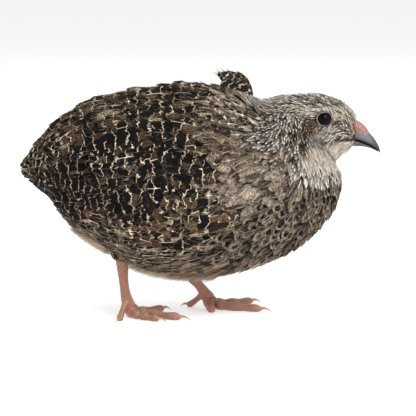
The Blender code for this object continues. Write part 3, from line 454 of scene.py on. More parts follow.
class PlumageSizes(bpy.types.PropertyGroup):
    """Sizes of the plumage that a user may want to change."""

    density: FloatProperty(
        name="Density", description="Feathers to an area, against the table", default=1.0, min=0.3, max=2.0
    )
    raggedness: FloatProperty(
        name="Raggedness", description="How frayed the vanes are", default=0.22, min=0.0, max=0.6
    )
    barbs: IntProperty(
        name="Barbs", description="Loose barbs on each body feather", default=22, min=0, max=60
    )
    tip_lift: FloatProperty(
        name="Tip lift", description="Height of body feather tips over the outline", default=0.00025,
        unit="LENGTH",
    )
    down_count: IntProperty(
        name="Down", description="Wisps along the belly and vent", default=7000, min=0, max=9900
    )
    strand_count: IntProperty(
        name="Loose barbs", description="Single barbs strewn over the coat", default=9000, min=0, max=9900
    )
    seed: IntProperty(name="Seed", description="Start of every random draw", default=11, min=0)


class StudioSettings(bpy.types.PropertyGroup):
    """The camera, the lights and the floor."""

    distance: FloatProperty(
        name="Distance", description="Camera to the bird's middle", default=0.810, unit="LENGTH"
    )
    elevation: FloatProperty(
        name="Elevation", description="Camera height angle", default=math.radians(8.4), subtype="ANGLE"
    )
    width: FloatProperty(
        name="Width", description="Width of the picture at the bird", default=0.17888, unit="LENGTH"
    )
    floor: FloatVectorProperty(
        name="Floor", description="Floor colour", subtype="COLOR", default=(0.90, 0.90, 0.90)
    )
    key: FloatProperty(name="Key", description="Power of the main lamp in watts", default=9.0, min=0.0)
    world: FloatProperty(
        name="World", description="Strength of the white surroundings", default=1.0, min=0.0
    )
    glow: FloatProperty(name="Glow", description="Light that the floor gives off", default=0.46, min=0.0)
    sky: FloatProperty(
        name="Sky", description="Strength of the light from overhead", default=0.42, min=0.0
    )


def spline_rows(table, place):
    """Smooth rows between a table's rows, at places that count its rows."""
    table = np.asarray(table, float)
    last = len(table) - 1
    padded = np.vstack([2 * table[0] - table[1], table, 2 * table[-1] - table[-2]])
    place = np.asarray(place, float)
    low = np.clip(place.astype(int), 0, last - 1)
    t = (place - low)[..., None]
    before, a, b, after = (padded[low + k] for k in range(4))
    slope_a, slope_b = (b - before) / 2, (after - a) / 2
    return (
        a * (2 * t**3 - 3 * t**2 + 1)
        + b * (3 * t**2 - 2 * t**3)
        + slope_a * (t**3 - 2 * t**2 + t)
        + slope_b * (t**3 - t**2)
    )


def trunk(place, angle):
    """Points on the outline of the plumage."""
    top_x, top_z, low_x, low_z, width, widest = np.moveaxis(spline_rows(SECTIONS, place), -1, 0)
    middle_x = top_x + (low_x - top_x) * widest
    middle_z = top_z + (low_z - top_z) * widest
    rise = np.cos(angle)
    end_x = np.where(rise > 0, top_x, low_x)
    end_z = np.where(rise > 0, top_z, low_z)
    x = middle_x + (end_x - middle_x) * abs(rise)
    z = middle_z + (end_z - middle_z) * abs(rise)
    return np.stack([x, width * np.sin(angle), z], -1)


def unit(vectors):
    return vectors / np.maximum(np.linalg.norm(vectors, axis=-1, keepdims=True), 1e-9)


def dot(a, b):
    return (a * b).sum(-1, keepdims=True)


def tangents(place, angle, step=0.01):
    """How the outline's points move with the place and with the angle."""
    along = (trunk(place + step, angle) - trunk(place - step, angle)) / (2 * step)
    around = (trunk(place, angle + step) - trunk(place, angle - step)) / (2 * step)
    return along, around


def outward(place, angle):
    along, around = tangents(place, angle)
    return unit(np.cross(along, around))


def skin_depth(place):
    """How deep the skin lies under the outline at a place."""
    return np.interp(place, *zip(*SKIN_DEPTHS))


def nearest_on_trunk(points, place, angle, steps=5):
    """The place and angle of the outline's nearest points, found from a first guess."""
    place, angle = (np.broadcast_to(a, points.shape[:-1]).astype(float).copy() for a in (place, angle))
    for _ in range(steps):
        miss = points - trunk(place, angle)
        along, around = tangents(place, angle)
        aa, ab, bb = (along * along).sum(-1), (along * around).sum(-1), (around * around).sum(-1)
        pa, pb = (along * miss).sum(-1), (around * miss).sum(-1)
        det = np.maximum(aa * bb - ab * ab, 1e-6)
        place += np.clip((bb * pa - ab * pb) / det, -0.6, 0.6)
        angle += np.clip((aa * pb - ab * pa) / det, -0.35, 0.35)
        place = np.clip(place, 0.0, LAST_PLACE)
    return place, angle


def on_side(x, z, side=1):
    """The place and angle where one side of the trunk has this x and z in side view."""
    x, z = np.atleast_1d(x).astype(float), np.atleast_1d(z).astype(float)
    place, angle = np.full(x.shape, 6.0), np.full(x.shape, math.pi / 2)
    for _ in range(14):
        here = trunk(place, angle)
        along, around = tangents(place, angle)
        det = along[:, 0] * around[:, 2] - along[:, 2] * around[:, 0]
        miss_x, miss_z = x - here[:, 0], z - here[:, 2]
        place = np.clip(place + (miss_x * around[:, 2] - miss_z * around[:, 0]) / det, 0, LAST_PLACE)
        angle = np.clip(angle + (miss_z * along[:, 0] - miss_x * along[:, 2]) / det, 0.3, math.pi - 0.3)
    return place, angle * side


def line_distance(x, z, start, end):
    """How far points in side view lie from a line between two points."""
    ax, az = start
    dx, dz = end[0] - ax, end[1] - az
    share = np.clip(((x - ax) * dx + (z - az) * dz) / (dx * dx + dz * dz), 0, 1)
    return np.hypot(x - ax - share * dx, z - az - share * dz)


def pigments():
    colours = bpy.context.scene.quail_colours
    return {name: np.array(getattr(colours, name)) for name in PlumageColours.__annotations__}


def plumage_at(points):
    """What each zone's table says, mixed smoothly for points on the body."""
    paint = pigments()
    x, z = points[:, 0], points[:, 2]
    total = np.zeros(len(points))
    mixed = {name: np.zeros(len(points)) for name in NUMBER_FIELDS}
    mixed.update({name: np.zeros((len(points), 3)) for name in COLOUR_FIELDS})
    for row in ZONES.values():
        distance = line_distance(x, z, *row["line"]) / row["reach"]
        weight = 1 / (0.02 + distance) ** np.interp(x, *ZONE_SHARPNESS)
        total += weight
        for name in NUMBER_FIELDS:
            mixed[name] += weight * row[name]
        for name in COLOUR_FIELDS:
            mixed[name] += weight[:, None] * paint[row[name]]
    for name, value in mixed.items():
        value /= total if value.ndim == 1 else total[:, None]
    return mixed


def bake_place(place, angle):
    """Where a spot of the body lies on the flat unwrap that every coat piece shares."""
    across = np.mod(angle / (2 * math.pi) + 0.5, 1.0)
    return np.stack([0.01 + 0.98 * place / LAST_PLACE, 0.01 + 0.98 * across], -1)


def mesh_from_arrays(name, points, faces):
    """A mesh in metres from points in millimetres and faces that all have as many corners."""
    points, faces = np.asarray(points, float), np.asarray(faces, np.int32)
    mesh = bpy.data.meshes.new(name)
    mesh.vertices.add(len(points))
    mesh.vertices.foreach_set("co", (points * MM).astype(np.float32).ravel())
    mesh.loops.add(faces.size)
    mesh.loops.foreach_set("vertex_index", faces.ravel())
    mesh.polygons.add(len(faces))
    mesh.polygons.foreach_set("loop_start", np.arange(0, faces.size, faces.shape[1], dtype=np.int32))
    mesh.update(calc_edges=True)
    mesh.validate()
    mesh.shade_smooth()
    return mesh


def set_uv(mesh, name, per_loop):
    layer = mesh.uv_layers.new(name=name)
    layer.data.foreach_set("uv", np.asarray(per_loop, np.float32).ravel())


def set_attribute(mesh, name, values):
    """A colour attribute with four numbers for each vertex."""
    layer = mesh.attributes.new(name, "FLOAT_COLOR", "POINT")
    layer.data.foreach_set("color", np.asarray(values, np.float32).ravel())


def piece(name, mesh, material, replaced=(), body="root"):
    """A finished piece that rides on the body and may take the place of nodes."""
    mesh.materials.clear()
    mesh.materials.append(material)
    obj = bpy.data.objects.new(name, mesh)
    bpy.context.scene.collection.objects.link(obj)
    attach(obj, body)
    if replaced:
        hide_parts(*replaced)
    return obj


class Tree:
    """A small helper that adds and links nodes of one shader or geometry tree."""

    def __init__(self, tree):
        self.tree = tree

    def add(self, kind, inputs=None, **settings):
        node = self.tree.nodes.new(kind)
        for key, value in settings.items():
            setattr(node, key, value)
        for key, value in (inputs or {}).items():
            self.feed(node.inputs[key], value)
        return node

    def feed(self, socket, value):
        """Links a socket to another or sets its own value, where every colour is opaque."""
        if isinstance(value, bpy.types.NodeSocket):
            self.tree.links.new(value, socket)
        elif socket.type == "RGBA":
            socket.default_value = (*value[:3], 1)
        else:
            socket.default_value = value

    def math(self, operation, *values):
        return self.add("ShaderNodeMath", dict(enumerate(values)), operation=operation).outputs[0]

    def times(self, *values):
        return self.math("MULTIPLY", *values)

    def plus(self, *values):
        return self.math("ADD", *values)

    def minus(self, *values):
        return self.math("SUBTRACT", *values)

    def scaled(self, value, factor, start):
        """A value times a factor, added to a start."""
        return self.math("MULTIPLY_ADD", value, factor, start)

    def swing(self, share, size, start):
        """How far a share lies from one half, times a size, added to a start."""
        return self.scaled(self.minus(share, 0.5), size, start)

    def ramp(self, value, low, high, start=0.0, end=1.0):
        """A smooth step from start at low to end at high."""
        inputs = {"Value": value, "From Min": low, "From Max": high, "To Min": start, "To Max": end}
        node = self.add("ShaderNodeMapRange", inputs, interpolation_type="SMOOTHSTEP")
        return node.outputs["Result"]

    def fall(self, value, low, high):
        """A smooth step from one at low down to nothing at high."""
        return self.ramp(value, low, high, 1.0, 0.0)

    def mix(self, share, first, second, blend="MIX"):
        node = self.add("ShaderNodeMix", data_type="RGBA", blend_type=blend)
        for index, value in ((0, share), (6, first), (7, second)):
            self.feed(node.inputs[index], value)
        return node.outputs[2]

    def veil(self, base, colour, share, strength):
        """A base under a colour that shows by a share times a strength."""
        return self.mix(self.times(share, strength), base, colour)

    def toned(self, colour, tone):
        """A colour made darker or lighter by a tone."""
        grey = self.add("ShaderNodeCombineColor", dict.fromkeys(("Red", "Green", "Blue"), tone))
        return self.mix(1.0, colour, grey.outputs[0], "MULTIPLY")

    def noise(self, vector, scale, detail=3.0, roughness=0.55):
        inputs = {"Vector": vector, "Scale": scale, "Detail": detail, "Roughness": roughness}
        return self.add("ShaderNodeTexNoise", inputs).outputs["Fac"]

    def attribute(self, name):
        return self.add("ShaderNodeAttribute", attribute_name=name).outputs

    def split(self, colour):
        return self.add("ShaderNodeSeparateColor", {"Color": colour}).outputs

    def dress(self, shader, colour, roughness=None, height=None, strength=0.4, depth=0.0002, **settings):
        """Gives a shader its colour and, where they are given, its roughness and a bump from a height."""
        self.feed(shader.inputs["Base Color"], colour)
        if roughness is not None:
            self.feed(shader.inputs["Roughness"], roughness)
        if height is not None:
            inputs = {"Strength": strength, "Distance": depth, "Height": height}
            bump = self.add("ShaderNodeBump", inputs, **settings)
            self.feed(shader.inputs["Normal"], bump.outputs[0])


def new_material(name, roughness, **sockets):
    """A material with its tree helper and its shader, whose plain sockets are set here."""
    material = bpy.data.materials.new(name)
    material.use_nodes = True
    tree = Tree(material.node_tree)
    shader = material.node_tree.nodes["Principled BSDF"]
    shader.inputs["Roughness"].default_value = roughness
    for key, value in sockets.items():
        shader.inputs[key.replace("_", " ")].default_value = value
    return material, tree, shader


def object_coordinates(tree):
    return tree.add("ShaderNodeTexCoord").outputs["Object"]


def shaded(colour, factor):
    """A plain colour times a factor, at most white."""
    return tuple(min(c * factor, 1) for c in colour)


def plumage_material():
    """Feathers: each vane's own bars, cells, shaft and fringe, from its map and its attributes."""
    existing = bpy.data.materials.get("feather_vanes")
    if existing:
        return existing
    material, tree, shader = new_material("feather_vanes", 0.8, Specular_IOR_Level=0.04)
    place = object_coordinates(tree)
    vane_map = tree.add("ShaderNodeUVMap", uv_map="Vane").outputs[0]
    vane = tree.add("ShaderNodeSeparateXYZ", {"Vector": vane_map}).outputs
    ground, mark, pale = (tree.attribute(name) for name in ("Ground", "Mark", "Pale"))
    pattern, measure = (tree.attribute(name) for name in ("Pattern", "Measure"))
    bars, shaft, edge = tree.split(pattern["Color"])[:3]
    draw, length, half = tree.split(measure["Color"])[:3]
    crescents, bar_gap = pattern["Alpha"], measure["Alpha"]
    mottle, cells = ground["Alpha"], mark["Alpha"]

    signed = tree.scaled(vane[0], 2.0, -1.0)
    across = tree.math("ABSOLUTE", signed)
    side = tree.math("GREATER_THAN", signed, 0.0)
    from_shaft = tree.times(across, half)
    to_side = tree.minus(half, from_shaft)
    to_tip = tree.times(tree.minus(1.0, vane[1]), length)
    coarse = tree.noise(place, 380.0, 2.0)
    fine = tree.noise(place, 1500.0, 4.0, 0.65)
    barb_line = tree.scaled(from_shaft, 0.8, to_tip)
    barb_place = tree.add("ShaderNodeCombineXYZ", {
        "X": tree.times(barb_line, 3.0), "Y": tree.times(from_shaft, 0.5), "Z": tree.times(draw, 50.0),
    }).outputs[0]
    barbs = tree.noise(barb_place, 1.0, 3.0, 0.6)

    wobble = tree.plus(tree.times(tree.minus(coarse, 0.5), 5.0), tree.times(tree.minus(fine, 0.5), 1.6))
    along = tree.plus(tree.scaled(from_shaft, 0.18, to_tip), wobble)
    phase = tree.plus(tree.math("DIVIDE", along, bar_gap), tree.scaled(side, 0.10, pale["Alpha"]))
    wave = tree.math("ABSOLUTE", tree.minus(tree.math("FRACT", phase), 0.5))
    off_bar = tree.times(wave, bar_gap)

    def drawn(step, spread):
        """A random number for each bar or cell on each half of a vane."""
        seed = tree.plus(tree.times(step, 1.37), tree.times(side, 0.53))
        inputs = {"W": tree.scaled(draw, spread, seed)}
        return tree.add("ShaderNodeTexWhiteNoise", inputs, noise_dimensions="1D").outputs["Value"]

    bar_there = tree.math("LESS_THAN", drawn(tree.math("FLOOR", phase), 91.7), bars)
    bar_width = tree.swing(fine, 0.35, tree.scaled(tree.fall(from_shaft, 0.0, 0.9), 0.16, 0.04))
    bar = tree.times(tree.fall(tree.minus(off_bar, bar_width), 0.02, 0.18), bar_there)
    cell_step = tree.math("FLOOR", tree.plus(phase, 0.5))
    cell_there = tree.math("LESS_THAN", drawn(cell_step, 57.3), cells)
    cell_side = tree.swing(fine, 0.9, tree.swing(coarse, 1.6, across))
    cell = tree.times(cell_there, tree.fall(cell_side, 0.58, 0.92))

    shaft_there = tree.math("LESS_THAN", tree.math("FRACT", tree.times(draw, 13.7)), shaft)
    near_bar = tree.times(tree.fall(off_bar, 0.2, 1.1), bar_there)
    shaft_width = tree.scaled(near_bar, 0.20, tree.ramp(length, 5.0, 8.0, 0.11, 0.04))
    streak = tree.times(tree.fall(tree.minus(from_shaft, shaft_width), 0.0, 0.14), shaft_there)
    streak = tree.times(streak, tree.ramp(vane[1], 0.3, 0.5))
    dash_end = tree.minus(to_tip, tree.ramp(length, 5.0, 8.0, 1.5, 20.0))
    streak = tree.times(streak, tree.fall(dash_end, -0.2, 0.2))
    rim = tree.scaled(wobble, 0.22, tree.math("MINIMUM", to_side, to_tip))
    fringe_width = tree.ramp(crescents, 0.2, 0.6, 0.75, 0.60)
    fringe = tree.times(tree.fall(rim, 0.20, fringe_width), edge)
    at_side = tree.times(tree.ramp(to_tip, 0.9, 2.0), tree.ramp(crescents, 0.2, 0.6))
    fringe = tree.times(fringe, tree.scaled(at_side, -0.6, 1.0))
    # A dark band inside the fringe: partly the feather's own crescent mark, partly painted shade between
    # overlapping feathers.
    crescent_and_painted_shade = tree.times(tree.ramp(rim, 1.0, 1.45), tree.fall(to_tip, 3.4, 4.6))

    clouds = tree.scaled(barbs, 0.4, tree.times(fine, 0.6))
    patch = tree.ramp(tree.minus(clouds, tree.scaled(mottle, -0.15, 0.60)), -0.05, 0.06)
    light = tree.fall(barbs, 0.28, 0.44)
    base = tree.veil(ground["Color"], mark["Color"], patch, 0.85)
    base = tree.veil(base, pale["Color"], light, tree.times(mottle, 0.28))
    base = tree.veil(base, mark["Color"], cell, tree.scaled(light, -0.10, 0.98))
    base = tree.veil(base, mark["Color"], crescent_and_painted_shade, crescents)
    for share in (fringe, bar, streak):
        base = tree.mix(share, base, pale["Color"])

    tone = tree.swing(draw, 0.4, tree.times(tree.minus(barbs, 0.5), 1.3))
    tone = tree.scaled(tone, tree.ramp(mottle, 0.1, 0.5, 0.45, 1.0), 0.94)
    height = tree.plus(barbs, tree.times(streak, 0.6))
    tree.dress(shader, tree.toned(base, tone), tree.scaled(fine, 0.3, 0.60), height, 0.5)
    return material


def skin_material():
    """Skin under the feathers, with the same pigments as the coat over it."""
    material, tree, shader = new_material("feathered_skin", 0.75, Specular_IOR_Level=0.15)
    place = object_coordinates(tree)
    ground, mark, pale = (tree.attribute(name)["Color"] for name in ("Ground", "Mark", "Pale"))
    blotches = tree.ramp(tree.noise(place, 420.0, 3.0), 0.44, 0.56)
    flecks = tree.ramp(tree.noise(place, 1500.0, 4.0), 0.60, 0.66)
    base = tree.veil(tree.mix(blotches, ground, mark), pale, flecks, 0.5)
    tree.dress(shader, base, tree.ramp(flecks, 0.0, 1.0, 0.82, 0.66), flecks)
    return material


def vane_outline(share, root, point):
    """Half width of a vane along its length, as a share of the widest."""
    widest = 0.55
    grow = root + (1 - root) * np.sin(np.clip(share / widest, 0, 1) * math.pi / 2)
    tip = np.clip((share - widest) / (1 - widest), 0, 1)
    return np.maximum(grow * (1 - tip**point) ** 0.55, 0.10)


def vane_faces(rows, columns):
    """Triangles of one closed vane: a domed top, a flat underside and two end caps."""
    faces = []
    for i in range(rows - 1):
        for j in range(columns - 1):
            a, b = i * columns + j, (i + 1) * columns + j
            faces += [(a, b, b + 1), (a, b + 1, a + 1)]
        left, right = i * columns, i * columns + columns - 1
        faces += [(left, right, right + columns), (left, right + columns, left + columns)]
    end = (rows - 1) * columns
    for j in range(1, columns - 1):
        faces += [(0, j, j + 1), (end, end + j + 1, end + j)]
    return np.array(faces)


def half_width(sites, share):
    """Half width of each site's vane at shares of its length, one row of shares for each site."""
    return sites["width"][:, None] / 2 * vane_outline(share, 0.42, sites["point"][:, None])


def lay(sites, reach, spread, extra, wrap):
    """Points, faces, maps and attributes of closed strips on the vanes of sites.

    reach, spread and extra hold, for each site, row and column, how far a point lies from the root
    along the vane, how far from its shaft, and how far above its plane.
    sites holds an array for each of: root, along and normal (three numbers each), place, angle,
    length, width, lift_root, lift_tip, roll, sway, swell, point, draw, and what plumage_at gives.
    """
    count, rows, columns = reach.shape
    length = sites["length"][:, None, None]
    share = np.clip(reach / length, 0, 1)
    half = half_width(sites, share.reshape(count, -1)).reshape(share.shape)
    vane_map = np.stack([np.clip(0.5 + spread / half / 2, 0, 1), share], -1)
    along, normal = sites["along"][:, None, None], sites["normal"][:, None, None]
    sideways = np.cross(normal, along)
    spread = spread + sites["sway"][:, None, None] * share**2
    points = sites["root"][:, None, None] + along * reach[..., None] + sideways * spread[..., None]
    climb = (sites["lift_tip"] - sites["lift_root"])[:, None, None]
    rise = sites["lift_root"][:, None, None] + climb * share
    height = rise + extra + sites["roll"][:, None, None] * spread
    if wrap:
        start = [np.broadcast_to(sites[k][:, None, None], reach.shape) for k in ("place", "angle")]
        place, angle = nearest_on_trunk(points, *start)
        up = outward(place, angle)
        points = points - up * dot(points - trunk(place, angle), up)
        swell = sites["swell"][:, None, None] * wing_swell(points[..., 0], points[..., 2])
        tuck = chin_tuck(points[..., 0], points[..., 2])
        points = points + up * (height + swell - tuck)[..., None]
    else:
        points = points + normal * height[..., None]
    bake = bake_place(sites["place"], sites["angle"])[:, None, None] + (vane_map - 0.5) * BAKE_PATCH

    def each(name, channel=None):
        value = sites[name] if channel is None else sites[name][:, channel]
        return value[:, None, None]

    def spread_out(*values):
        stacked = np.stack([np.broadcast_to(value, reach.shape) for value in values], -1)
        return stacked.reshape(-1, 4)

    attributes = {
        "Ground": spread_out(*(each("ground", k) for k in range(3)), each("mottle")),
        "Mark": spread_out(*(each("mark", k) for k in range(3)), each("cell")),
        "Pale": spread_out(*(each("pale", k) for k in range(3)), each("phase")),
        "Pattern": spread_out(each("bars"), each("shaft"), each("edge"), each("crescent")),
        "Measure": spread_out(each("draw"), each("length"), half, each("bar_gap")),
    }
    single = vane_faces(rows, columns)
    faces = (single[None] + np.arange(count)[:, None, None] * rows * columns).reshape(-1, 3)
    return points.reshape(-1, 3), faces, vane_map.reshape(-1, 2), bake.reshape(-1, 2), attributes


def lay_vanes(sites, rows, columns, draw, raggedness, wrap=True):
    """The vanes themselves, thin and domed, with notched edges."""
    count = len(sites["root"])
    share = 1 - (1 - np.linspace(0, 1, rows)) ** 1.5
    across = np.linspace(-1, 1, columns)
    half = half_width(sites, np.broadcast_to(share, (count, rows)))[:, :, None]
    notch = np.where(np.arange(rows) % 2 == 1, 1.0, 0.25)[None, :, None]
    fray = 1 - raggedness * notch * draw.random((count, rows, columns))
    fray[:, 0] = 1
    spread = half * across * np.where(abs(across) > 0.9, fray, 1.0)
    notch = np.where(np.arange(columns) % 2 == 1, 1.0, 0.3)
    worn = 0.2 * raggedness * (share[None, :, None] > 0.9) * notch * draw.random(fray.shape)
    reach = sites["length"][:, None, None] * (share[None, :, None] - worn)
    dome = 0.14 * half * (1 - across**2)
    return lay(sites, reach, spread, np.broadcast_to(dome, reach.shape), wrap)


def lay_barbs(sites, each, draw, thickness=0.15, wrap=True):
    """Loose barbs that lie on the vanes and reach a little past their edges."""
    sites = {name: np.repeat(value, each, axis=0) for name, value in sites.items()}
    count = len(sites["root"])
    start = draw.uniform(0.38, 0.97, count)
    end = np.minimum(start + draw.uniform(0.10, 0.24, count), draw.uniform(0.97, 1.07, count))
    side = np.where(np.arange(count) % 2 == 0, 1.0, -1.0)
    half_start, half_end = half_width(sites, np.stack([start, np.clip(end, 0, 1)], -1)).T
    spread_start = side * half_start * draw.uniform(0.15, 0.5, count)
    spread_end = side * half_end * draw.uniform(0.80, 1.16, count)
    share = np.linspace(0, 1, 3)
    length = sites["length"]
    reach = length[:, None] * (start[:, None] + (end - start)[:, None] * share)
    spread = spread_start[:, None] + (spread_end - spread_start)[:, None] * share**0.8
    aim = unit(np.stack([(end - start) * length, spread_end - spread_start], -1))
    across = np.array([-1.0, 0.0, 1.0])
    wide = thickness * draw.uniform(0.7, 1.3, count)[:, None] * np.array([0.8, 1.0, 0.25])
    reach = reach[:, :, None] - aim[:, 1, None, None] * across * wide[:, :, None]
    spread = spread[:, :, None] + aim[:, 0, None, None] * across * wide[:, :, None]
    curl = draw.uniform(0.02, 0.35, count)[:, None, None] * share[None, :, None] ** 2
    ridge = 0.09 * half_start[:, None, None] * 0.8 + 0.05 + 0.5 * wide[:, :, None] * (1 - abs(across))
    return lay(sites, reach, spread, ridge + curl, wrap)


def plumage_piece(name, batches, replaced=()):
    """One coat piece from batches of laid vanes."""
    points, faces = joined([batch[:2] for batch in batches])
    _, _, maps, bakes, attributes = zip(*batches)
    mesh = mesh_from_arrays(name, points, faces)
    set_uv(mesh, "OFBake", np.concatenate(bakes)[faces.ravel()])
    set_uv(mesh, "Vane", np.concatenate(maps)[faces.ravel()])
    for key in attributes[0]:
        set_attribute(mesh, key, np.concatenate([values[key] for values in attributes]))
    return piece(name, mesh, plumage_material(), replaced)


def wing_swell(x, z):
    """How far the folded wing lifts the plumage, for points in side view."""
    reach = np.hypot((x - WING_CENTRE[0]) / WING_SEMIAXES[0], (z - WING_CENTRE[1]) / WING_SEMIAXES[1])
    share = np.clip((1.08 - reach) / 0.55, 0, 1)
    return WING_SWELL * share * share * (3 - 2 * share)


def chin_tuck(x, z):
    """How far the soft chin is drawn in under the bill, for points in side view."""
    share = np.clip(1 - line_distance(x, z, *CHIN_LINE) / CHIN_REACH, 0, 1)
    return CHIN_TUCK * share * share * (3 - 2 * share)


def surface_cells(first, last):
    """Small cells of the outline between two places: their places, angles and areas."""
    edges = np.linspace(first, last, CELLS_ALONG + 1)
    places = (edges[:-1] + edges[1:]) / 2
    angles = (np.arange(CELLS_AROUND) + 0.5) / CELLS_AROUND * 2 * math.pi - math.pi
    place, angle = (a.ravel() for a in np.meshgrid(places, angles, indexing="ij"))
    along, around = tangents(place, angle)
    cell = (last - first) / CELLS_ALONG * 2 * math.pi / CELLS_AROUND
    return place, angle, np.linalg.norm(np.cross(along, around), axis=-1) * cell


def strew_in_cells(draw, first, last, place, angle, weight, count):
    """Random places and angles in cells drawn by weight, and which cell each is in."""
    chosen = draw.choice(len(weight), count, p=weight / weight.sum())
    place = place[chosen] + (draw.random(count) - 0.5) * (last - first) / CELLS_ALONG
    angle = angle[chosen] + (draw.random(count) - 0.5) * 2 * math.pi / CELLS_AROUND
    return place, angle, chosen


def scatter(draw, first, last, density):
    """Feather roots spread evenly between two places, closer where the zones say so."""
    cell_place, cell_angle, area = surface_cells(first, last)
    gap = plumage_at(trunk(cell_place, cell_angle))["gap"] / math.sqrt(density)
    weight = area / gap**2
    tries = int(7 * weight.sum())
    place, angle, chosen = strew_in_cells(draw, first, last, cell_place, cell_angle, weight, tries)
    return keep_apart(trunk(place, angle), gap[chosen], place, angle)


def strewn(draw, first, last, count, wanted):
    """Random places and angles, as many to an area as a function of points and normals wants."""
    place, angle, area = surface_cells(first, last)
    weight = area * wanted(trunk(place, angle), outward(place, angle))
    return strew_in_cells(draw, first, last, place, angle, weight, count)[:2]


def keep_apart(points, gaps, place, angle):
    """Drops each root that lies nearer than its gap to one kept before it."""
    cell = float(gaps.max())
    kept, grid = [], {}
    keys = np.floor(points / cell).astype(int)
    steps = list(product((-1, 0, 1), repeat=3))
    for i, ((x, y, z), point, gap) in enumerate(zip(keys.tolist(), points.tolist(), gaps.tolist())):
        around = (grid.get((x + dx, y + dy, z + dz), ()) for dx, dy, dz in steps)
        if all(math.dist(other, point) >= gap for others in around for other in others):
            grid.setdefault((x, y, z), []).append(point)
            kept.append(i)
    return place[kept], angle[kept]


def body_sites(place, angle, draw, lift=0.0, swell=0.0):
    """Everything that lay needs for body feathers rooted at places and angles."""
    sizes = bpy.context.scene.quail_sizes
    root = trunk(place, angle)
    normal = outward(place, angle)
    along, around = tangents(place, angle)
    side = np.where(np.sin(angle) >= 0, 1.0, -1.0)
    aft = unit(-along - normal * dot(-along, normal))
    down = unit(np.cross(normal, aft))
    down = down * np.where((down * around).sum(-1) * side > 0, 1.0, -1.0)[:, None]
    sites = plumage_at(root)
    count = len(place)
    turn = np.radians(sites["turn"] + sites["ruffle"] * draw.normal(size=count))
    turn = turn * np.clip(np.abs(np.sin(angle)) * 2.5, 0, 1)
    heading = aft * np.cos(turn)[:, None] + down * np.sin(turn)[:, None]
    sites["along"] = unit(heading)
    sites["root"], sites["normal"], sites["place"], sites["angle"] = root, normal, place, angle
    sites["length"] = sites["length"] * draw.uniform(0.88, 1.12, count) * np.interp(place, *TAIL_SHORTENING)
    sites["width"] = sites["width"] * draw.uniform(0.88, 1.12, count)
    size = sites["width"] / 8.0
    pick = draw.random(count)[:, None]
    darks, lights = sites["darks"][:, None], sites["lights"][:, None]
    shade = np.where(pick < darks, sites["ground"] * 0.15 + sites["mark"] * 0.85, sites["ground"])
    sites["ground"] = np.where(pick > 1 - lights, sites["ground"] * 0.35 + sites["pale"] * 0.65, shade)
    sites["lift_root"] = -skin_depth(place) - 0.15 + lift
    sites["lift_tip"] = sizes.tip_lift / MM + draw.uniform(-0.8, 0.5, count) * size + lift
    sites["roll"] = draw.normal(0, 1, count) * sites["ruffle"] * 0.012
    sites["sway"] = draw.normal(0, 0.05, count) * sites["length"]
    sites["swell"] = np.full(count, float(swell))
    sites["draw"] = draw.random(count)
    slope = np.radians(sites["turn"])
    heading_set = np.stack([-np.cos(slope), np.zeros(count), -np.sin(slope)], -1)
    tip = ((root + sites["along"] * sites["length"][:, None] - BAR_PIVOT) * heading_set).sum(-1)
    marching = np.where(sites["march"] > MARCH_START, tip / sites["bar_gap"], 0)
    sites["phase"] = 40 - marching + (1 - sites["march"]) * draw.random(count)
    sites["point"] = np.where(sites["gap"] < 1.9, 1.5, 2.5)
    # How strong each feather's dark crescent is; it is partly painted shade between overlapping feathers.
    sites["crescent"] = np.minimum(sites["crescent"] * draw.uniform(0.35, 1.15, count), 1.0)
    sites["edge"] = sites["edge"] * draw.uniform(0.5, 1.1, count)
    return sites


def chosen_sites(sites, keep):
    return {name: value[keep] for name, value in sites.items()}


def turned(x, z, pitch):
    """Spots in side view, turned by a pitch about the origin."""
    cos_p, sin_p = math.cos(pitch), math.sin(pitch)
    return x * cos_p - z * sin_p, x * sin_p + z * cos_p


def clear_of_bill(sites):
    """Drops feathers rooted where the bill and the flaps over the nostrils are bare."""
    x, z = sites["root"][:, 0], sites["root"][:, 2]
    along, across = turned(x - OPERCULUM_CENTRE[0], z - OPERCULUM_CENTRE[2], OPERCULUM_PITCH)
    half_long, _, half_high = OPERCULUM_SEMIAXES
    on_flap = np.hypot(along / (half_long + 0.2), across / (half_high + 0.1)) < 1
    on_horn = (x > HORN_START[0]) & (z > HORN_START[1]) & (z < OPERCULUM_CENTRE[2] - 1.0)
    return chosen_sites(sites, ~(on_flap | on_horn))


def clear_of_eyes(sites):
    """Turns and shortens feathers in front of an eye, and drops those rooted in its opening."""
    eye = np.array([EYE_PLACE[0], 0.0, EYE_PLACE[1]])
    to_eye = eye - sites["root"]
    to_eye[:, 1] = 0
    distance = np.linalg.norm(to_eye, axis=1)
    bare = LID_OPENING + 0.2
    near = (distance < EYE_REACH) & (np.abs(sites["root"][:, 1]) > EYE_SIDE)
    toward = unit(to_eye)
    ahead = (sites["along"] * toward).sum(-1)
    turning = ahead * np.clip((EYE_REACH - distance) / EYE_EASE, 0, 1)
    push = np.where(near & (ahead > 0), turning, 0.0)
    sites["along"] = unit(sites["along"] - toward * push[:, None])
    ahead = (sites["along"] * toward).sum(-1)
    aside = np.sqrt(np.maximum(distance**2 - (ahead * distance) ** 2, 0))
    hits = near & (ahead > 0) & (aside < bare)
    room = ahead * distance - np.sqrt(np.maximum(bare**2 - aside**2, 0))
    shortened = np.minimum(sites["length"], np.maximum(room, LEAST_LENGTH))
    sites["length"] = np.where(hits, shortened, sites["length"])
    return chosen_sites(sites, ~(near & (distance < bare)))


def band_faces(rings, sides, closed=False):
    """Triangles between neighbouring rings of points, and back to the first where it is closed."""
    steps = np.meshgrid(np.arange(rings - 1 + closed), np.arange(sides), indexing="ij")
    i, j = (step.ravel() for step in steps)
    here, after, k = i * sides, (i + 1) % rings * sides, (j + 1) % sides
    a, b, c, d = here + j, here + k, after + k, after + j
    return np.stack([a, b, c, a, c, d], -1).reshape(-1, 3)


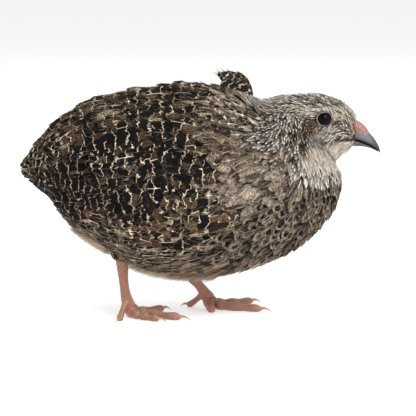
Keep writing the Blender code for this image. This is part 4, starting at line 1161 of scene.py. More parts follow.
def lofted_skin():
    """Points, faces and bake map of the closed skin, inside the outline by the coat's depth."""
    place = np.linspace(0, LAST_PLACE, SKIN_RINGS)
    angle = np.arange(SKIN_SIDES) / SKIN_SIDES * 2 * math.pi - math.pi
    places, angles = np.meshgrid(place, angle, indexing="ij")
    up = outward(places, angles)
    points = trunk(places, angles) - up * skin_depth(places)[..., None]
    crease = line_distance(points[..., 0], points[..., 2], GAPE_CORNER, GAPE_FRONT)
    groove = 0.5 * np.clip(1 - crease / 0.7, 0, 1) * (places > THROAT_PLACE)
    points = points - up * (groove + chin_tuck(points[..., 0], points[..., 2]))[..., None]
    flat, faces = ring_mesh(points)
    faces = faces[:, (0, 2, 1)]
    row, column = np.divmod(faces.astype(float), SKIN_SIDES)
    # The last column meets the first across the seam, where the unwrap goes on instead.
    hub = row == SKIN_RINGS
    at_seam = ((column == SKIN_SIDES - 1) & ~hub).any(1, keepdims=True)
    column = np.where(at_seam & (column == 0) & ~hub, SKIN_SIDES, column)
    # The point that closes an end takes the row of its face's ring, half way between its columns.
    row[:, 0] = np.where(hub[:, 0], row[:, 1], row[:, 0])
    column[:, 0] = np.where(hub[:, 0], column[:, 1:].mean(1), column[:, 0])
    bake = np.stack([0.01 + 0.98 * row / (SKIN_RINGS - 1), 0.01 + 0.98 * column / SKIN_SIDES], -1)
    return flat, faces, bake.reshape(-1, 2)


def coloured_by_zone(mesh, points):
    look = plumage_at(points)
    for name in COLOUR_FIELDS:
        set_attribute(mesh, name.capitalize(), np.hstack([look[name], np.ones((len(points), 1))]))


def ring_mesh(rings):
    """Points and triangles of a closed skin through rings of points, with both ends closed."""
    rings = np.asarray(rings, float)
    count, sides = rings.shape[:2]
    points = np.vstack([rings.reshape(-1, 3), rings[0].mean(0), rings[-1].mean(0)])
    j = np.arange(sides)
    k = (j + 1) % sides
    end = (count - 1) * sides
    first, last = np.full(sides, count * sides), np.full(sides, count * sides + 1)
    caps = np.stack([first, k, j, last, end + j, end + k], -1).reshape(-1, 3)
    return points, np.vstack([band_faces(count, sides), caps])


def joined(parts):
    """Several sets of points and faces as one."""
    points, faces, offset = [], [], 0
    for part_points, part_faces in parts:
        points.append(part_points)
        faces.append(part_faces + offset)
        offset += len(part_points)
    return np.vstack(points), np.vstack(faces)


def turned_out(mesh):
    """Turns the faces of closed shapes outwards."""
    shape = bmesh.new()
    shape.from_mesh(mesh)
    bmesh.ops.recalc_face_normals(shape, faces=shape.faces)
    shape.to_mesh(mesh)
    shape.free()
    return mesh


def round_rings(path, radii, sides, narrow=1.0, relief=None):
    """Rings of points square to a path, kept from twisting."""
    path = np.asarray(path, float)
    forward = unit(np.gradient(path, axis=0))
    sideways = unit(np.cross(forward, np.array([0.0, 0.0, 1.0])))
    up = np.cross(sideways, forward)
    turn = np.arange(sides) / sides * 2 * math.pi
    radii = np.asarray(radii, float)[:, None] * np.ones(sides)
    if relief is not None:
        radii = radii + relief(turn)
    across = radii * np.sin(turn) * narrow
    above = radii * np.cos(turn)
    return path[:, None] + sideways[:, None] * across[..., None] + up[:, None] * above[..., None]


def toe_track(points, kind, count):
    """A toe's centre line and radii, as in the solid model."""
    radius, pads, root_height, landing = TOES[kind]
    share = np.linspace(0, 1, count)
    size = radius * TOE_FULLNESS * (1 - TOE_TAPER * share)
    level = size - SOLE_PRESS
    height = level + (root_height - level) * np.maximum(0.0, 1 - share / landing) ** TOE_ARCH
    flat = spline_rows(points, share * (len(points) - 1))
    path = np.column_stack([flat, height])
    return path, size * (1 + PAD_SWELL * np.cos(2 * math.pi * pads * (share - LAST_PAD)))


def scute_relief(path):
    """Scutes across the top of a toe or the front of a shank, and small scales elsewhere."""
    travelled = np.concatenate([[0], np.cumsum(np.linalg.norm(np.diff(path, axis=0), axis=1))])
    saw = np.mod(travelled / SCUTE_LENGTH, 1.0)
    ridge = np.minimum(saw * 5, 1) - 0.6 * saw

    def relief(turn):
        top = np.clip(np.cos(turn) * 1.6 - 0.2, 0, 1)
        pebble = 0.35 * np.sin(turn * 7 + travelled[:, None] * 4.0) * (1 - top)
        return SCUTE_RELIEF * (ridge[:, None] * top + pebble)

    return relief


def foot_parts(sizes):
    """Shank, ball of the foot and four toes of one leg as closed skins that run into each other."""
    top, bottom = (np.array(p) for p in sizes["cuff"])
    axis = (bottom - top) / np.linalg.norm(bottom - top)
    bends = np.array([top.tolist(), (bottom + axis * 0.3).tolist(), *sizes["shank"], sizes["ball"]])
    share = np.linspace(0.1, 1, 54)
    path = spline_rows(bends, share * (len(bends) - 1))
    radii = spline_rows([[r] for r in (2.9, *SHANK_RADII, 2.2)], share * 5)[:, 0]
    parts, reliefs = [round_rings(path, radii, 18, 0.9, scute_relief(path))], [(path, 18)]
    for kind, points in sizes["toes"].items():
        toe, toe_radii = toe_track(np.array(points), kind, 44)
        grow = np.ones(len(toe_radii))
        grow[-4:] = (0.97, 0.88, 0.70, 0.40)
        parts.append(round_rings(toe, toe_radii * grow, 16, 1.0, scute_relief(toe)))
        reliefs.append((toe, 16))
    ball, _ = pitched_ball(sizes["ball"], BALL_SEMIAXES, 0.0, 1)
    parts.append(ball)
    meshes = [ring_mesh(rings) for rings in parts]
    for points, _ in meshes:
        points[:, 2] = np.maximum(points[:, 2], 0.0)
    scutes = []
    for track, sides in reliefs:
        raised = scute_relief(track)(np.arange(sides) / sides * 2 * math.pi) / SCUTE_RELIEF
        scutes += [raised.ravel(), (0.0, 0.0)]
    scutes.append(np.full(ball.shape[0] * ball.shape[1] + 2, 0.2))
    return *joined(meshes), np.concatenate(scutes)


def claw_rings(toe, kind):
    """A curved nail that leaves the toe's tip and bends down to the ground."""
    tip = toe[-1]
    level = tip - toe[-3]
    level[2] = 0
    level = level / np.linalg.norm(level)
    share = np.linspace(0, 1, 12)
    radii = CLAW_RADIUS + (CLAW_TIP_RADIUS - CLAW_RADIUS) * share
    start = tip[2] + 0.15
    path = tip + level * (CLAW_LENGTH[kind] * share - 0.6 * (1 - share))[:, None]
    path[:, 2] = start + (radii - start) * share**1.6 + 0.5 * np.sin(math.pi * share)
    rings = round_rings(path, radii, 10, 0.8)
    rings[..., 2] = np.maximum(rings[..., 2], 0.0)
    return rings


def bill_rings(table, shut):
    """Rounded sections of one half of the bill, from its root to its tip, grown to close the mouth."""
    steps = 40
    rows = spline_rows(table, np.linspace(0, len(table) - 1, steps))
    turn = np.arange(28) / 28 * 2 * math.pi
    rings = []
    for high_x, high_z, low_x, low_z, half in rows:
        high, low = np.array([high_x, 0, high_z + shut[0]]), np.array([low_x, 0, low_z - shut[1]])
        middle, reach = (high + low) / 2, (high - low) / 2
        sideways = np.outer(np.sin(turn) * half, (0, 1, 0))
        rings.append(middle + np.outer(np.cos(turn), reach) + sideways)
    return rings


def pitched_ball(centre, semiaxes, pitch, side, rows=18, columns=28):
    """A stretched ball with its nose turned down, on one side of the bird."""
    steps = np.linspace(0, math.pi, rows + 2)[1:-1], np.arange(columns) / columns * 2 * math.pi
    polar, turn = np.meshgrid(*steps, indexing="ij")
    round_ball = np.stack([np.cos(polar), np.sin(polar) * np.cos(turn), np.sin(polar) * np.sin(turn)], -1)
    local = round_ball * np.array(semiaxes)
    x, z = turned(local[..., 0], local[..., 2], -pitch)
    return np.stack([x, local[..., 1], z], -1) + np.array([centre[0], centre[1] * side, centre[2]]), local


def eye_site(side):
    """The eyeball's centre and the direction that it looks in."""
    place, angle = on_side(*EYE_PLACE, side)
    look = outward(place, angle)[0]
    centre = trunk(place, angle)[0] - look * (EYE_RADIUS - EYE_STANDS)
    return centre, look


def basis_for(look):
    """Two directions square to one another and to a look."""
    right = unit(np.cross(np.array([0.0, 0.0, 1.0]), look))
    return right, np.cross(look, right)


class QUAIL_OT_skin(bpy.types.Operator):
    """Make the skin from tail to bill, with the thighs"""

    bl_idname = "quail.skin"
    bl_label = "Skin"

    def execute(self, context):
        points, faces, bake = lofted_skin()
        mesh = mesh_from_arrays("skin", points, faces)
        set_uv(mesh, "OFBake", bake)
        coloured_by_zone(mesh, points)
        material = skin_material()
        piece("skin", mesh, material, ("torso", "neck", "head"))
        for name, sizes in LEGS.items():
            top, bottom = (np.array(p) for p in sizes["cuff"])
            share = np.linspace(-0.2, 1, 14)
            path = top + (bottom - top) * share[:, None]
            wide, narrow = CUFF_RADII
            radii = narrow - 0.7 + (wide - narrow) * np.sqrt(np.clip(1 - np.clip(share, 0, 1) ** 2, 0, 1))
            thigh_points, thigh_faces = ring_mesh(round_rings(path, radii, 28))
            thigh = mesh_from_arrays(f"thigh_skin_{name}", thigh_points, thigh_faces)
            spot = bake_place(*nearest_on_trunk(top[None], 5.5, math.copysign(2.2, top[1])))
            local = (thigh_points - thigh_points.mean(0))[:, (0, 2)] / (2 * wide)
            set_uv(thigh, "OFBake", (spot + local * BAKE_PATCH)[thigh_faces.ravel()])
            turned_out(thigh)
            coloured_by_zone(thigh, thigh_points)
            piece(f"thigh_skin_{name}", thigh, material, (f"thigh_{name}",))
        return {"FINISHED"}


def fill(sites, **values):
    """Gives every site the same number in each of these fields."""
    count = len(sites["root"])
    sites.update({name: np.full(count, float(value)) for name, value in values.items()})


class QUAIL_OT_body_plumage(bpy.types.Operator):
    """Lay the small feathers of the body, neck and head"""

    bl_idname = "quail.body_plumage"
    bl_label = "Body plumage"

    def execute(self, context):
        sizes = context.scene.quail_sizes
        draw = np.random.default_rng(sizes.seed)
        body = body_sites(*scatter(draw, BODY_START, NECK_START, sizes.density), draw)
        under = wing_swell(body["root"][:, 0], body["root"][:, 2]) > BODY_UNTIL * WING_SWELL
        body = chosen_sites(body, ~under)
        for name, first, last in BODY_BANDS:
            banded = (body["place"] >= first) & (body["place"] < last)
            for side_name, side in SIDES.items():
                kept = chosen_sites(body, banded & (body["root"][:, 1] * side >= 0))
                vanes = lay_vanes(kept, *VANE_GRIDS["body"], draw, sizes.raggedness)
                barbs = lay_barbs(kept, sizes.barbs, draw, 0.12)
                plumage_piece(f"{name}_feathers_{side_name}", [vanes, barbs])
        neck = body_sites(*scatter(draw, NECK_START, HEAD_START, sizes.density), draw)
        vanes = lay_vanes(neck, *VANE_GRIDS["neck"], draw, sizes.raggedness)
        plumage_piece("neck_feathers", [vanes, lay_barbs(neck, 4, draw, 0.07)])
        head = body_sites(*scatter(draw, HEAD_START, HEAD_END, sizes.density), draw)
        head = clear_of_bill(clear_of_eyes(head))
        plumage_piece("head_feathers", [lay_vanes(head, *VANE_GRIDS["head"], draw, sizes.raggedness)])
        return {"FINISHED"}


def downy(points, normals):
    """How much down shows: most at the vent and round the thighs, a little along the belly."""
    x, z = points[:, 0], points[:, 2]
    low = np.clip((-normals[:, 2] - 0.76) / 0.12, 0, 1) * (np.abs(points[:, 1]) < 12)
    vent = line_distance(x, z, *DOWN_VENT) < 6.0
    belly = line_distance(x, z, *DOWN_BELLY) < 2.5
    return low * (vent + belly * 0.2)


def evenly(points, normals):
    """As many strands everywhere."""
    return np.ones(len(points))


def strand_material():
    """Single barbs and down, each in its own tint."""
    material, tree, shader = new_material("loose_strands", 0.8, Specular_IOR_Level=0.12)
    grain = tree.noise(object_coordinates(tree), 1800.0, 2.0)
    tinted = tree.toned(tree.attribute("Tint")["Color"], tree.scaled(grain, 0.5, 0.75))
    tree.dress(shader, tinted, tree.scaled(grain, 0.3, 0.6))
    return material


def strand_tree():
    """Geometry nodes that stand a bent strand on every point, by the point's own turn and size."""
    group = bpy.data.node_groups.new("strands", "GeometryNodeTree")
    for name, kind in STRAND_INPUTS.items():
        group.interface.new_socket(name, in_out="INPUT", socket_type=f"NodeSocket{kind}")
    group.interface.new_socket("Geometry", in_out="OUTPUT", socket_type="NodeSocketGeometry")
    tree = Tree(group)
    given = tree.add("NodeGroupInput").outputs
    cone = tree.add("GeometryNodeMeshCone", {
        "Vertices": given["Sides"], "Side Segments": given["Segments"],
        "Radius Top": 0.12, "Radius Bottom": 1.0, "Depth": 1.0,
    }).outputs["Mesh"]
    position = tree.add("GeometryNodeInputPosition").outputs[0]
    high = tree.add("ShaderNodeSeparateXYZ", {"Vector": position}).outputs[2]
    shift = tree.times(tree.math("POWER", high, 2.0), given["Bend"])
    offset = tree.add("ShaderNodeCombineXYZ", {"X": shift}).outputs[0]
    kept = tree.add("GeometryNodeStoreNamedAttribute", {
        "Geometry": cone, "Name": "Local", "Value": position,
    }, data_type="FLOAT_VECTOR").outputs[0]
    bent = tree.add("GeometryNodeSetPosition", {"Geometry": kept, "Offset": offset}).outputs[0]
    turn, size = (
        tree.add("GeometryNodeInputNamedAttribute", {"Name": name}, data_type="FLOAT_VECTOR").outputs[0]
        for name in ("Turn", "Size")
    )
    rotation = tree.add("FunctionNodeEulerToRotation", {"Euler": turn}).outputs[0]
    stood = tree.add("GeometryNodeInstanceOnPoints", {
        "Points": given["Points"], "Instance": bent, "Rotation": rotation, "Scale": size,
    }).outputs[0]
    real = tree.add("GeometryNodeRealizeInstances", {"Geometry": stood}).outputs[0]
    done = tree.add("GeometryNodeSetMaterial", {"Geometry": real, "Material": given["Material"]}).outputs[0]
    tree.add("NodeGroupOutput", {"Geometry": done})
    return group


def set_vectors(mesh, name, values):
    """An attribute with three numbers for each vertex."""
    layer = mesh.attributes.new(name, "FLOAT_VECTOR", "POINT")
    layer.data.foreach_set("vector", np.asarray(values, np.float32).ravel())


def get_vectors(mesh, name):
    values = np.empty(len(mesh.vertices) * 3, np.float32)
    mesh.attributes[name].data.foreach_get("vector", values)
    return values.reshape(-1, 3)


def strands_piece(name, roots, along, normal, size, tint, bake):
    """Strands that stand on roots, as one plain mesh that rides on the body."""
    material = strand_material()
    points = bpy.data.meshes.new(f"{name}_roots")
    points.vertices.add(len(roots))
    points.vertices.foreach_set("co", (roots * MM).astype(np.float32).ravel())
    x_axis = unit(normal - along * dot(normal, along))
    frames = np.stack([x_axis, np.cross(along, x_axis), along], -1)
    set_vectors(points, "Turn", [Matrix(rows).to_euler() for rows in frames.tolist()])
    set_vectors(points, "Size", size * MM)
    set_vectors(points, "Root", bake)
    set_attribute(points, "Tint", np.hstack([tint, np.ones((len(tint), 1))]))
    obj = bpy.data.objects.new(f"{name}_roots", points)
    bpy.context.scene.collection.objects.link(obj)
    modifier = obj.modifiers.new("strands", "NODES")
    modifier.node_group = strand_tree()
    sockets = modifier.node_group.interface.items_tree
    for key, value in {**STRAND_SIZES, "Material": material}.items():
        modifier[sockets[key].identifier] = value
    mesh = bpy.data.meshes.new_from_object(obj.evaluated_get(bpy.context.evaluated_depsgraph_get()))
    bpy.data.objects.remove(obj)
    corners = np.empty(len(mesh.loops), np.int32)
    mesh.loops.foreach_get("vertex_index", corners)
    local = get_vectors(mesh, "Local")[:, (0, 2)] * (0.5, 1.0) - (0.0, 0.5)
    set_uv(mesh, "OFBake", (get_vectors(mesh, "Root")[:, :2] + local * BAKE_PATCH)[corners])
    mesh.name = name
    mesh.shade_smooth()
    return piece(name, mesh, material)


class QUAIL_OT_strands(bpy.types.Operator):
    """Scatter down along the belly, and loose barbs over the coat"""

    bl_idname = "quail.strands"
    bl_label = "Strands"

    def execute(self, context):
        sizes = context.scene.quail_sizes
        draw = np.random.default_rng(sizes.seed + 400)
        place, angle = strewn(draw, *DOWN_PLACES, sizes.down_count, downy)
        self.strand(draw, "down", place, angle, (2.2, 4.6), thick=0.09, rises=(14, 44), light=0.85)
        place, angle = strewn(draw, *BARB_PLACES, sizes.strand_count, evenly)
        self.strand(draw, "loose_barbs", place, angle, (2.0, 4.6), thick=0.08, rises=(1, 9), light=0.4)
        return {"FINISHED"}

    def strand(self, draw, name, place, angle, lengths, thick, rises, light):
        """One piece of strands rooted at places and angles."""
        sites = clear_of_bill(clear_of_eyes(body_sites(place, angle, draw)))
        count = len(sites["root"])
        rise = np.radians(draw.uniform(*rises, count))[:, None]
        aim = sites["along"] * np.cos(rise) + sites["normal"] * np.sin(rise)
        along = unit(aim + draw.normal(0, 0.1, (count, 3)))
        length = draw.uniform(*lengths, count) * np.clip(sites["length"] / 8, 0.45, 1)
        swell = wing_swell(sites["root"][:, 0], sites["root"][:, 2])
        root = sites["root"] + sites["normal"] * (swell - 0.25)[:, None]
        paled = (draw.random(count) < light)[:, None]
        tint = np.where(paled, sites["pale"] * 0.8, sites["ground"] * 0.75)
        size = np.stack([np.full(count, thick), np.full(count, thick), length], -1)
        bake = np.column_stack([bake_place(sites["place"], sites["angle"]), np.zeros(count)])
        strands_piece(name, root, along, sites["normal"], size, tint, bake)


class QUAIL_OT_wings(bpy.types.Operator):
    """Fold both wings: flight feathers in tiers, and coverts over them"""

    bl_idname = "quail.wings"
    bl_label = "Wings"

    def execute(self, context):
        sizes = context.scene.quail_sizes
        for name, side in SIDES.items():
            draw = np.random.default_rng(sizes.seed + 100 + side)
            flight = [self.tier(draw, side, *tier) for tier in WING_TIERS.values()]
            plumage_piece(f"flight_feathers_{name}", flight, (f"wing_{name}",))
            plumage_piece(f"wing_coverts_{name}", self.coverts(draw, side, sizes))
        return {"FINISHED"}

    def tier(self, draw, side, count, first, last, headings, lengths, width, lifts):
        """One tier of long vanes, each over the one below it."""
        share = np.linspace(0, 1, count)
        x, z = (first[n] + (last[n] - first[n]) * share for n in (0, 1))
        sites = body_sites(*on_side(x, z, side), draw)
        heading = headings[0] + (headings[1] - headings[0]) * share
        heading = np.radians(heading + draw.normal(0, 1.5, count))
        aim = np.stack([-np.cos(heading), np.zeros(count), -np.sin(heading)], -1)
        sites["along"] = unit(aim - sites["normal"] * dot(aim, sites["normal"]))
        sites["length"] = lengths[0] + (lengths[1] - lengths[0]) * share * draw.uniform(0.96, 1.04, count)
        sites["sway"] = draw.normal(0, 0.4, count)
        fill(sites, width=width, lift_root=lifts[0], lift_tip=lifts[1], roll=-0.14 * side, point=2.0)
        middle = plumage_at(sites["root"] + sites["along"] * sites["length"][:, None] * 0.75)
        for field in (*COLOUR_FIELDS, "bars", "bar_gap", "cell", "shaft", "edge", "crescent", "mottle"):
            sites[field] = middle[field]
        sites["shaft"] = sites["shaft"] * 0.4
        return lay_vanes(sites, *VANE_GRIDS["flight"], draw, 0.10)

    def coverts(self, draw, side, sizes):
        """Coverts and scapulars over the roots of the long feathers."""
        place, angle = scatter(draw, *COVERT_PLACES, sizes.density)
        x, z = trunk(place, angle)[:, 0], trunk(place, angle)[:, 2]
        lifted = wing_swell(x, z) > COVERTS_FROM * WING_SWELL
        on_wing = (np.sin(angle) * side > 0) & lifted & (x > COVERTS_END)
        sites = body_sites(place[on_wing], angle[on_wing], draw, 0.25, 1.0)
        vanes = lay_vanes(sites, *VANE_GRIDS["body"], draw, sizes.raggedness)
        return [vanes, lay_barbs(sites, sizes.barbs, draw)]


class QUAIL_OT_tail(bpy.types.Operator):
    """Make the short tail: a fan of stiff feathers inside rings of coverts"""

    bl_idname = "quail.tail"
    bl_label = "Tail"

    def execute(self, context):
        sizes = context.scene.quail_sizes
        draw = np.random.default_rng(sizes.seed + 200)
        batches = [self.fan(draw, sizes)]
        for row in TAIL_COVERTS:
            batches += self.ring(draw, sizes, *row)
        plumage_piece("tail_feathers", batches, ("tail",))
        return {"FINISHED"}

    def fan(self, draw, sizes):
        """The stiff tail feathers in one spread, crowned fan."""
        count = RECTRIX_COUNT
        turn = RECTRIX_SPREAD / 2 * np.linspace(-1, 1, count)
        along = unit(np.stack([-np.cos(turn), np.sin(turn), np.full(count, -math.tan(RECTRIX_DROP))], -1))
        normal = unit(np.cross(np.cross(along, (0, 0, 1.0)), along))
        root = np.array(RECTRIX_ROOT) + np.outer(np.sin(turn), (0, RECTRIX_ROOT_SPREAD, 0))
        root[:, 2] -= RECTRIX_CROWN * (1 - np.cos(turn)) + 0.35 * (np.arange(count) % 2)
        sites = body_sites(*nearest_on_trunk(root, 0.4, np.sign(turn + 1e-6) * 1.5), draw)
        sites.update(root=root, along=along, normal=normal)
        fill(sites, length=RECTRIX_LENGTH, width=RECTRIX_WIDTH)
        fill(sites, lift_root=0, lift_tip=0, sway=0, bars=1, bar_gap=2.6)
        return lay_vanes(sites, *VANE_GRIDS["tail"], draw, sizes.raggedness, wrap=False)

    def ring(self, draw, sizes, place, count, target, shorter):
        """Coverts rooted round the body at one place, that close on a target behind it."""
        angle = (np.arange(count) + draw.uniform(-0.3, 0.3, count)) / count * 2 * math.pi
        places = place + draw.uniform(-0.25, 0.25, count)
        sites = body_sites(places, angle, draw)
        x, half_wide, low, high = target
        middle, reach = (low + high) / 2, (high - low) / 2
        tip = np.stack([np.full(count, x), half_wide * np.sin(angle), middle + reach * np.cos(angle)], -1)
        root = sites["root"] - sites["normal"] * 0.8
        along = unit(tip - root)
        normal = unit(sites["normal"] - along * dot(sites["normal"], along))
        sites.update(root=root, along=along, normal=normal)
        sites["length"] = np.linalg.norm(tip - root, axis=1) * draw.uniform(0.9, 1.04, count) * shorter
        sites["width"] = draw.uniform(3.6, 5.2, count)
        sites["lift_tip"] = draw.uniform(-0.2, 0.5, count)
        fill(sites, lift_root=0, bars=0.8, bar_gap=3.2, cell=0.8, edge=0.1, point=2.0)
        vanes = lay_vanes(sites, *VANE_GRIDS["tail_coverts"], draw, sizes.raggedness, wrap=False)
        return [vanes, lay_barbs(sites, 26, draw, 0.12, wrap=False)]


class QUAIL_OT_raised_scapulars(bpy.types.Operator):
    """Make the ruffled feathers that stand up behind the neck"""

    bl_idname = "quail.raised_scapulars"
    bl_label = "Raised scapulars"

    def execute(self, context):
        sizes = context.scene.quail_sizes
        draw = np.random.default_rng(sizes.seed + 300)
        table = np.array(RAISED_VANES)
        count = len(table)
        root = table[:, :3]
        lean = np.radians(table[:, 3])
        along = unit(np.stack([-np.sin(lean), draw.normal(0, 0.05, count), np.cos(lean)], -1))
        sites = body_sites(*nearest_on_trunk(root, 7.8, 0.15), draw)
        sites.update(root=root, along=along, normal=np.tile((0.0, -1.0, 0.0), (count, 1)))
        sites["length"], sites["width"] = table[:, 4], table[:, 5]
        sites["lift_tip"] = draw.uniform(-0.6, 0.6, count)
        fill(sites, lift_root=0, sway=1.5, bars=1, cell=1, shaft=0, edge=0.05, bar_gap=RAISED_BAR_GAP)
        paint = pigments()
        for field, colour in (("ground", "brown"), ("mark", "jet"), ("pale", "cream")):
            sites[field] = np.tile(paint[colour], (count, 1))
        wisps = sites["width"] < WISP_WIDTH
        sites["ground"][wisps] = sites["mark"][wisps] = paint["bone"]
        sites["cell"][wisps] = sites["bars"][wisps] = 0
        sites["phase"] = 20.3 - sites["length"] / RAISED_BAR_GAP
        vanes = lay_vanes(sites, *VANE_GRIDS["raised"], draw, 0.3, wrap=False)
        barbs = lay_barbs(sites, 60, draw, 0.10, wrap=False)
        plumage_piece("raised_shoulder_feathers", [vanes, barbs], ("raised_scapulars",))
        return {"FINISHED"}


class QUAIL_OT_eyes(bpy.types.Operator):
    """Make the eyes and the bare rims round them"""

    bl_idname = "quail.eyes"
    bl_label = "Eyes"

    def execute(self, context):
        eye_look, rim_look = eye_material(), rim_material()
        for name, side in SIDES.items():
            centre, look = eye_site(side)
            right, up = basis_for(look)
            points, faces = self.ball(centre, look, right, up)
            ball = turned_out(mesh_from_arrays(f"eyeball_{name}", points, faces))
            facing = (points - centre) @ look / EYE_RADIUS
            set_attribute(ball, "Facing", np.column_stack([*[facing] * 3, np.ones(len(points))]))
            piece(f"eyeball_{name}", ball, eye_look, (f"eye_{name}",))
            points, faces, inner = self.rim(centre, look, right, up)
            rim = turned_out(mesh_from_arrays(f"eye_rim_{name}", points, faces))
            set_attribute(rim, "Inner", np.column_stack([inner] * 4))
            piece(f"eye_rim_{name}", rim, rim_look)
        return {"FINISHED"}

    def ball(self, centre, look, right, up):
        """The eyeball, with a slight bulge of the cornea in front."""
        rows, columns = 36, 48
        polar = np.linspace(0, math.pi, rows + 2)[1:-1]
        turn = np.arange(columns) / columns * 2 * math.pi
        ring = np.cos(turn)[:, None] * right + np.sin(turn)[:, None] * up
        radius = EYE_RADIUS * (1 + CORNEA_BULGE * np.clip(1 - polar / CORNEA_EDGE, 0, 1) ** 2)
        return ring_mesh([
            centre + r * (look * math.cos(p) + ring * math.sin(p)) for r, p in zip(radius, polar)
        ])

    def rim(self, centre, look, right, up):
        """The folds of lid that close on the eyeball, and a mark for the inner one, which is pale."""
        around, sides = 72, 12
        turn = np.arange(around) / around * 2 * math.pi
        small = np.arange(sides) / sides * 2 * math.pi
        spoke = np.cos(turn)[:, None] * right + np.sin(turn)[:, None] * up
        depth = math.sqrt((EYE_RADIUS + 0.15) ** 2 - LID_OPENING**2)
        folds = []
        for outside, tube, sunk in LID_FOLDS:
            tubes = tube * (1 + 0.22 * np.cos(turn * 26) + 0.25 * np.cos(turn - 2.4))
            reach = LID_OPENING + outside + tubes[:, None] * np.cos(small)
            reach = reach * (1 + 0.04 * np.cos(2 * turn))[:, None]
            height = depth - sunk + tubes[:, None] * np.sin(small)
            points = centre + spoke[:, None] * reach[..., None] + look * height[..., None]
            folds.append((points.reshape(-1, 3), band_faces(around, sides, closed=True)))
        inner = np.repeat((1.0, 0.0, 0.0), around * sides)
        return *joined(folds), inner


def eye_material():
    """Wet, near black eye: a black pupil in a dark brown iris."""
    material, tree, shader = new_material("wet_eye", 0.05, Specular_IOR_Level=0.08)
    facing = tree.split(tree.attribute("Facing")["Color"])[0]
    fibres = tree.noise(object_coordinates(tree), 2600.0, 3.0)
    iris = tree.mix(fibres, TINTS["iris_dark"], TINTS["iris_light"])
    base = tree.mix(tree.ramp(facing, 0.875, 0.90), iris, TINTS["pupil"])
    base = tree.mix(tree.fall(facing, 0.60, 0.66), base, TINTS["eye_edge"])
    tree.dress(shader, base, tree.scaled(fibres, 0.015, 0.02))
    return material


def rim_material():
    """Bare grey-white skin round the eye, brown in the outer folds."""
    material, tree, shader = new_material("eye_rim", 0.6, Subsurface_Weight=0.1, Subsurface_Scale=0.0005)
    place = object_coordinates(tree)
    grain = tree.noise(place, 2600.0, 3.0)
    patches = tree.ramp(tree.noise(place, 420.0, 2.0), 0.40, 0.60)
    base = tree.mix(patches, TINTS["rim_dark"], TINTS["rim_light"])
    inner = tree.split(tree.attribute("Inner")["Color"])[0]
    base = tree.mix(inner, TINTS["outer_fold"], base)
    base = tree.veil(base, TINTS["rim_grain"], grain, 0.3)
    tree.dress(shader, base, tree.scaled(grain, 0.3, 0.45), grain, 0.5, 0.0001)
    return material


def bill_material():
    """Slate horn, darker to the tip, flesh at the edge of the gape."""
    material, tree, shader = new_material("bill_horn", 0.34, Coat_Weight=0.15, Coat_Roughness=0.3)
    slate = bpy.context.scene.quail_colours.bill
    place = object_coordinates(tree)
    spot = tree.add("ShaderNodeSeparateXYZ", {"Vector": place}).outputs
    grain = tree.noise(place, 900.0, 4.0)
    drawn_out = tree.add("ShaderNodeMapping", {"Vector": place, "Scale": (0.25, 1.0, 1.0)}).outputs[0]
    streaks = tree.noise(drawn_out, 2600.0, 3.0)
    off_mouth, lower = tree.split(tree.attribute("Mouth")["Color"])[:2]
    tip = tree.ramp(tree.plus(spot[0], tree.times(spot[2], -0.7)), 0.0165, 0.0245)
    edge = tree.times(tree.fall(off_mouth, 0.4, 1.0), tree.fall(spot[0], 0.0645, 0.0700))
    worn = tree.times(tree.ramp(grain, 0.54, 0.62), tree.fall(off_mouth, 0.5, 1.0))
    base = tree.mix(grain, shaded(slate, 0.75), shaded(slate, 1.35))
    base = tree.veil(base, shaded(slate, 2.2), tree.ramp(streaks, 0.45, 0.7), 0.35)
    base = tree.veil(base, TINTS["bill_tip"], tip, 0.85)
    base = tree.veil(base, TINTS["lower_bill"], lower, 0.8)
    base = tree.veil(base, TINTS["gape"], edge, 0.8)
    base = tree.veil(base, TINTS["worn_horn"], worn, 0.75)
    base = tree.mix(tree.fall(off_mouth, 0.25, 0.55), base, TINTS["mouth_line"])
    tree.dress(shader, base, tree.scaled(grain, 0.2, 0.26), streaks, 0.3, 0.0001)
    return material


def flesh_material():
    """Pink swollen skin over the nostrils."""
    flesh = bpy.context.scene.quail_colours.flesh
    material, tree, shader = new_material(
        "nostril_flap", 0.42, Subsurface_Weight=0.25, Subsurface_Scale=0.0008
    )
    veins = tree.noise(object_coordinates(tree), 1100.0, 5.0, 0.65)
    base = tree.mix(tree.ramp(veins, 0.38, 0.62), shaded(flesh, 0.8), shaded(flesh, 1.5))
    tree.dress(shader, base, height=veins)
    return material


class QUAIL_OT_bill(bpy.types.Operator):
    """Make the bill and the flaps over the nostrils"""

    bl_idname = "quail.bill"
    bl_label = "Bill"

    def execute(self, context):
        horn = bill_material()
        for name, table, shut in (("upper_bill", UPPER_BILL, (0, 0.3)), ("lower_bill", LOWER_BILL, (0.2, 0))):
            points, faces = ring_mesh(bill_rings(table, shut))
            mesh = turned_out(mesh_from_arrays(f"{name}_horn", points, faces))
            lines = zip(MOUTH, MOUTH[1:])
            off_mouth = np.min([line_distance(points[:, 0], points[:, 2], *ends) for ends in lines], 0)
            lower = np.full(len(points), float(name == "lower_bill"))
            set_attribute(mesh, "Mouth", np.column_stack([off_mouth, lower, lower, lower]))
            piece(f"{name}_horn", mesh, horn, (name,))
        flaps = [ring_mesh(self.flap(side)) for side in SIDES.values()]
        mesh = turned_out(mesh_from_arrays("nostril_flaps", *joined(flaps)))
        piece("nostril_flaps", mesh, flesh_material())
        return {"FINISHED"}

    def flap(self, side):
        """The swollen flap over one nostril, dented at the slit and narrowed forward."""
        shape, local = pitched_ball(OPERCULUM_CENTRE, OPERCULUM_SEMIAXES, OPERCULUM_PITCH, side)
        dent = np.exp(-(((local[..., 2] + 1.1) / 0.35) ** 2 + ((local[..., 0] + 0.2) / 1.8) ** 2))
        narrowing = OPERCULUM_NARROWING * (shape[..., 0] - OPERCULUM_CENTRE[0])
        shape[..., 1] -= side * (0.55 * dent + narrowing)
        return shape


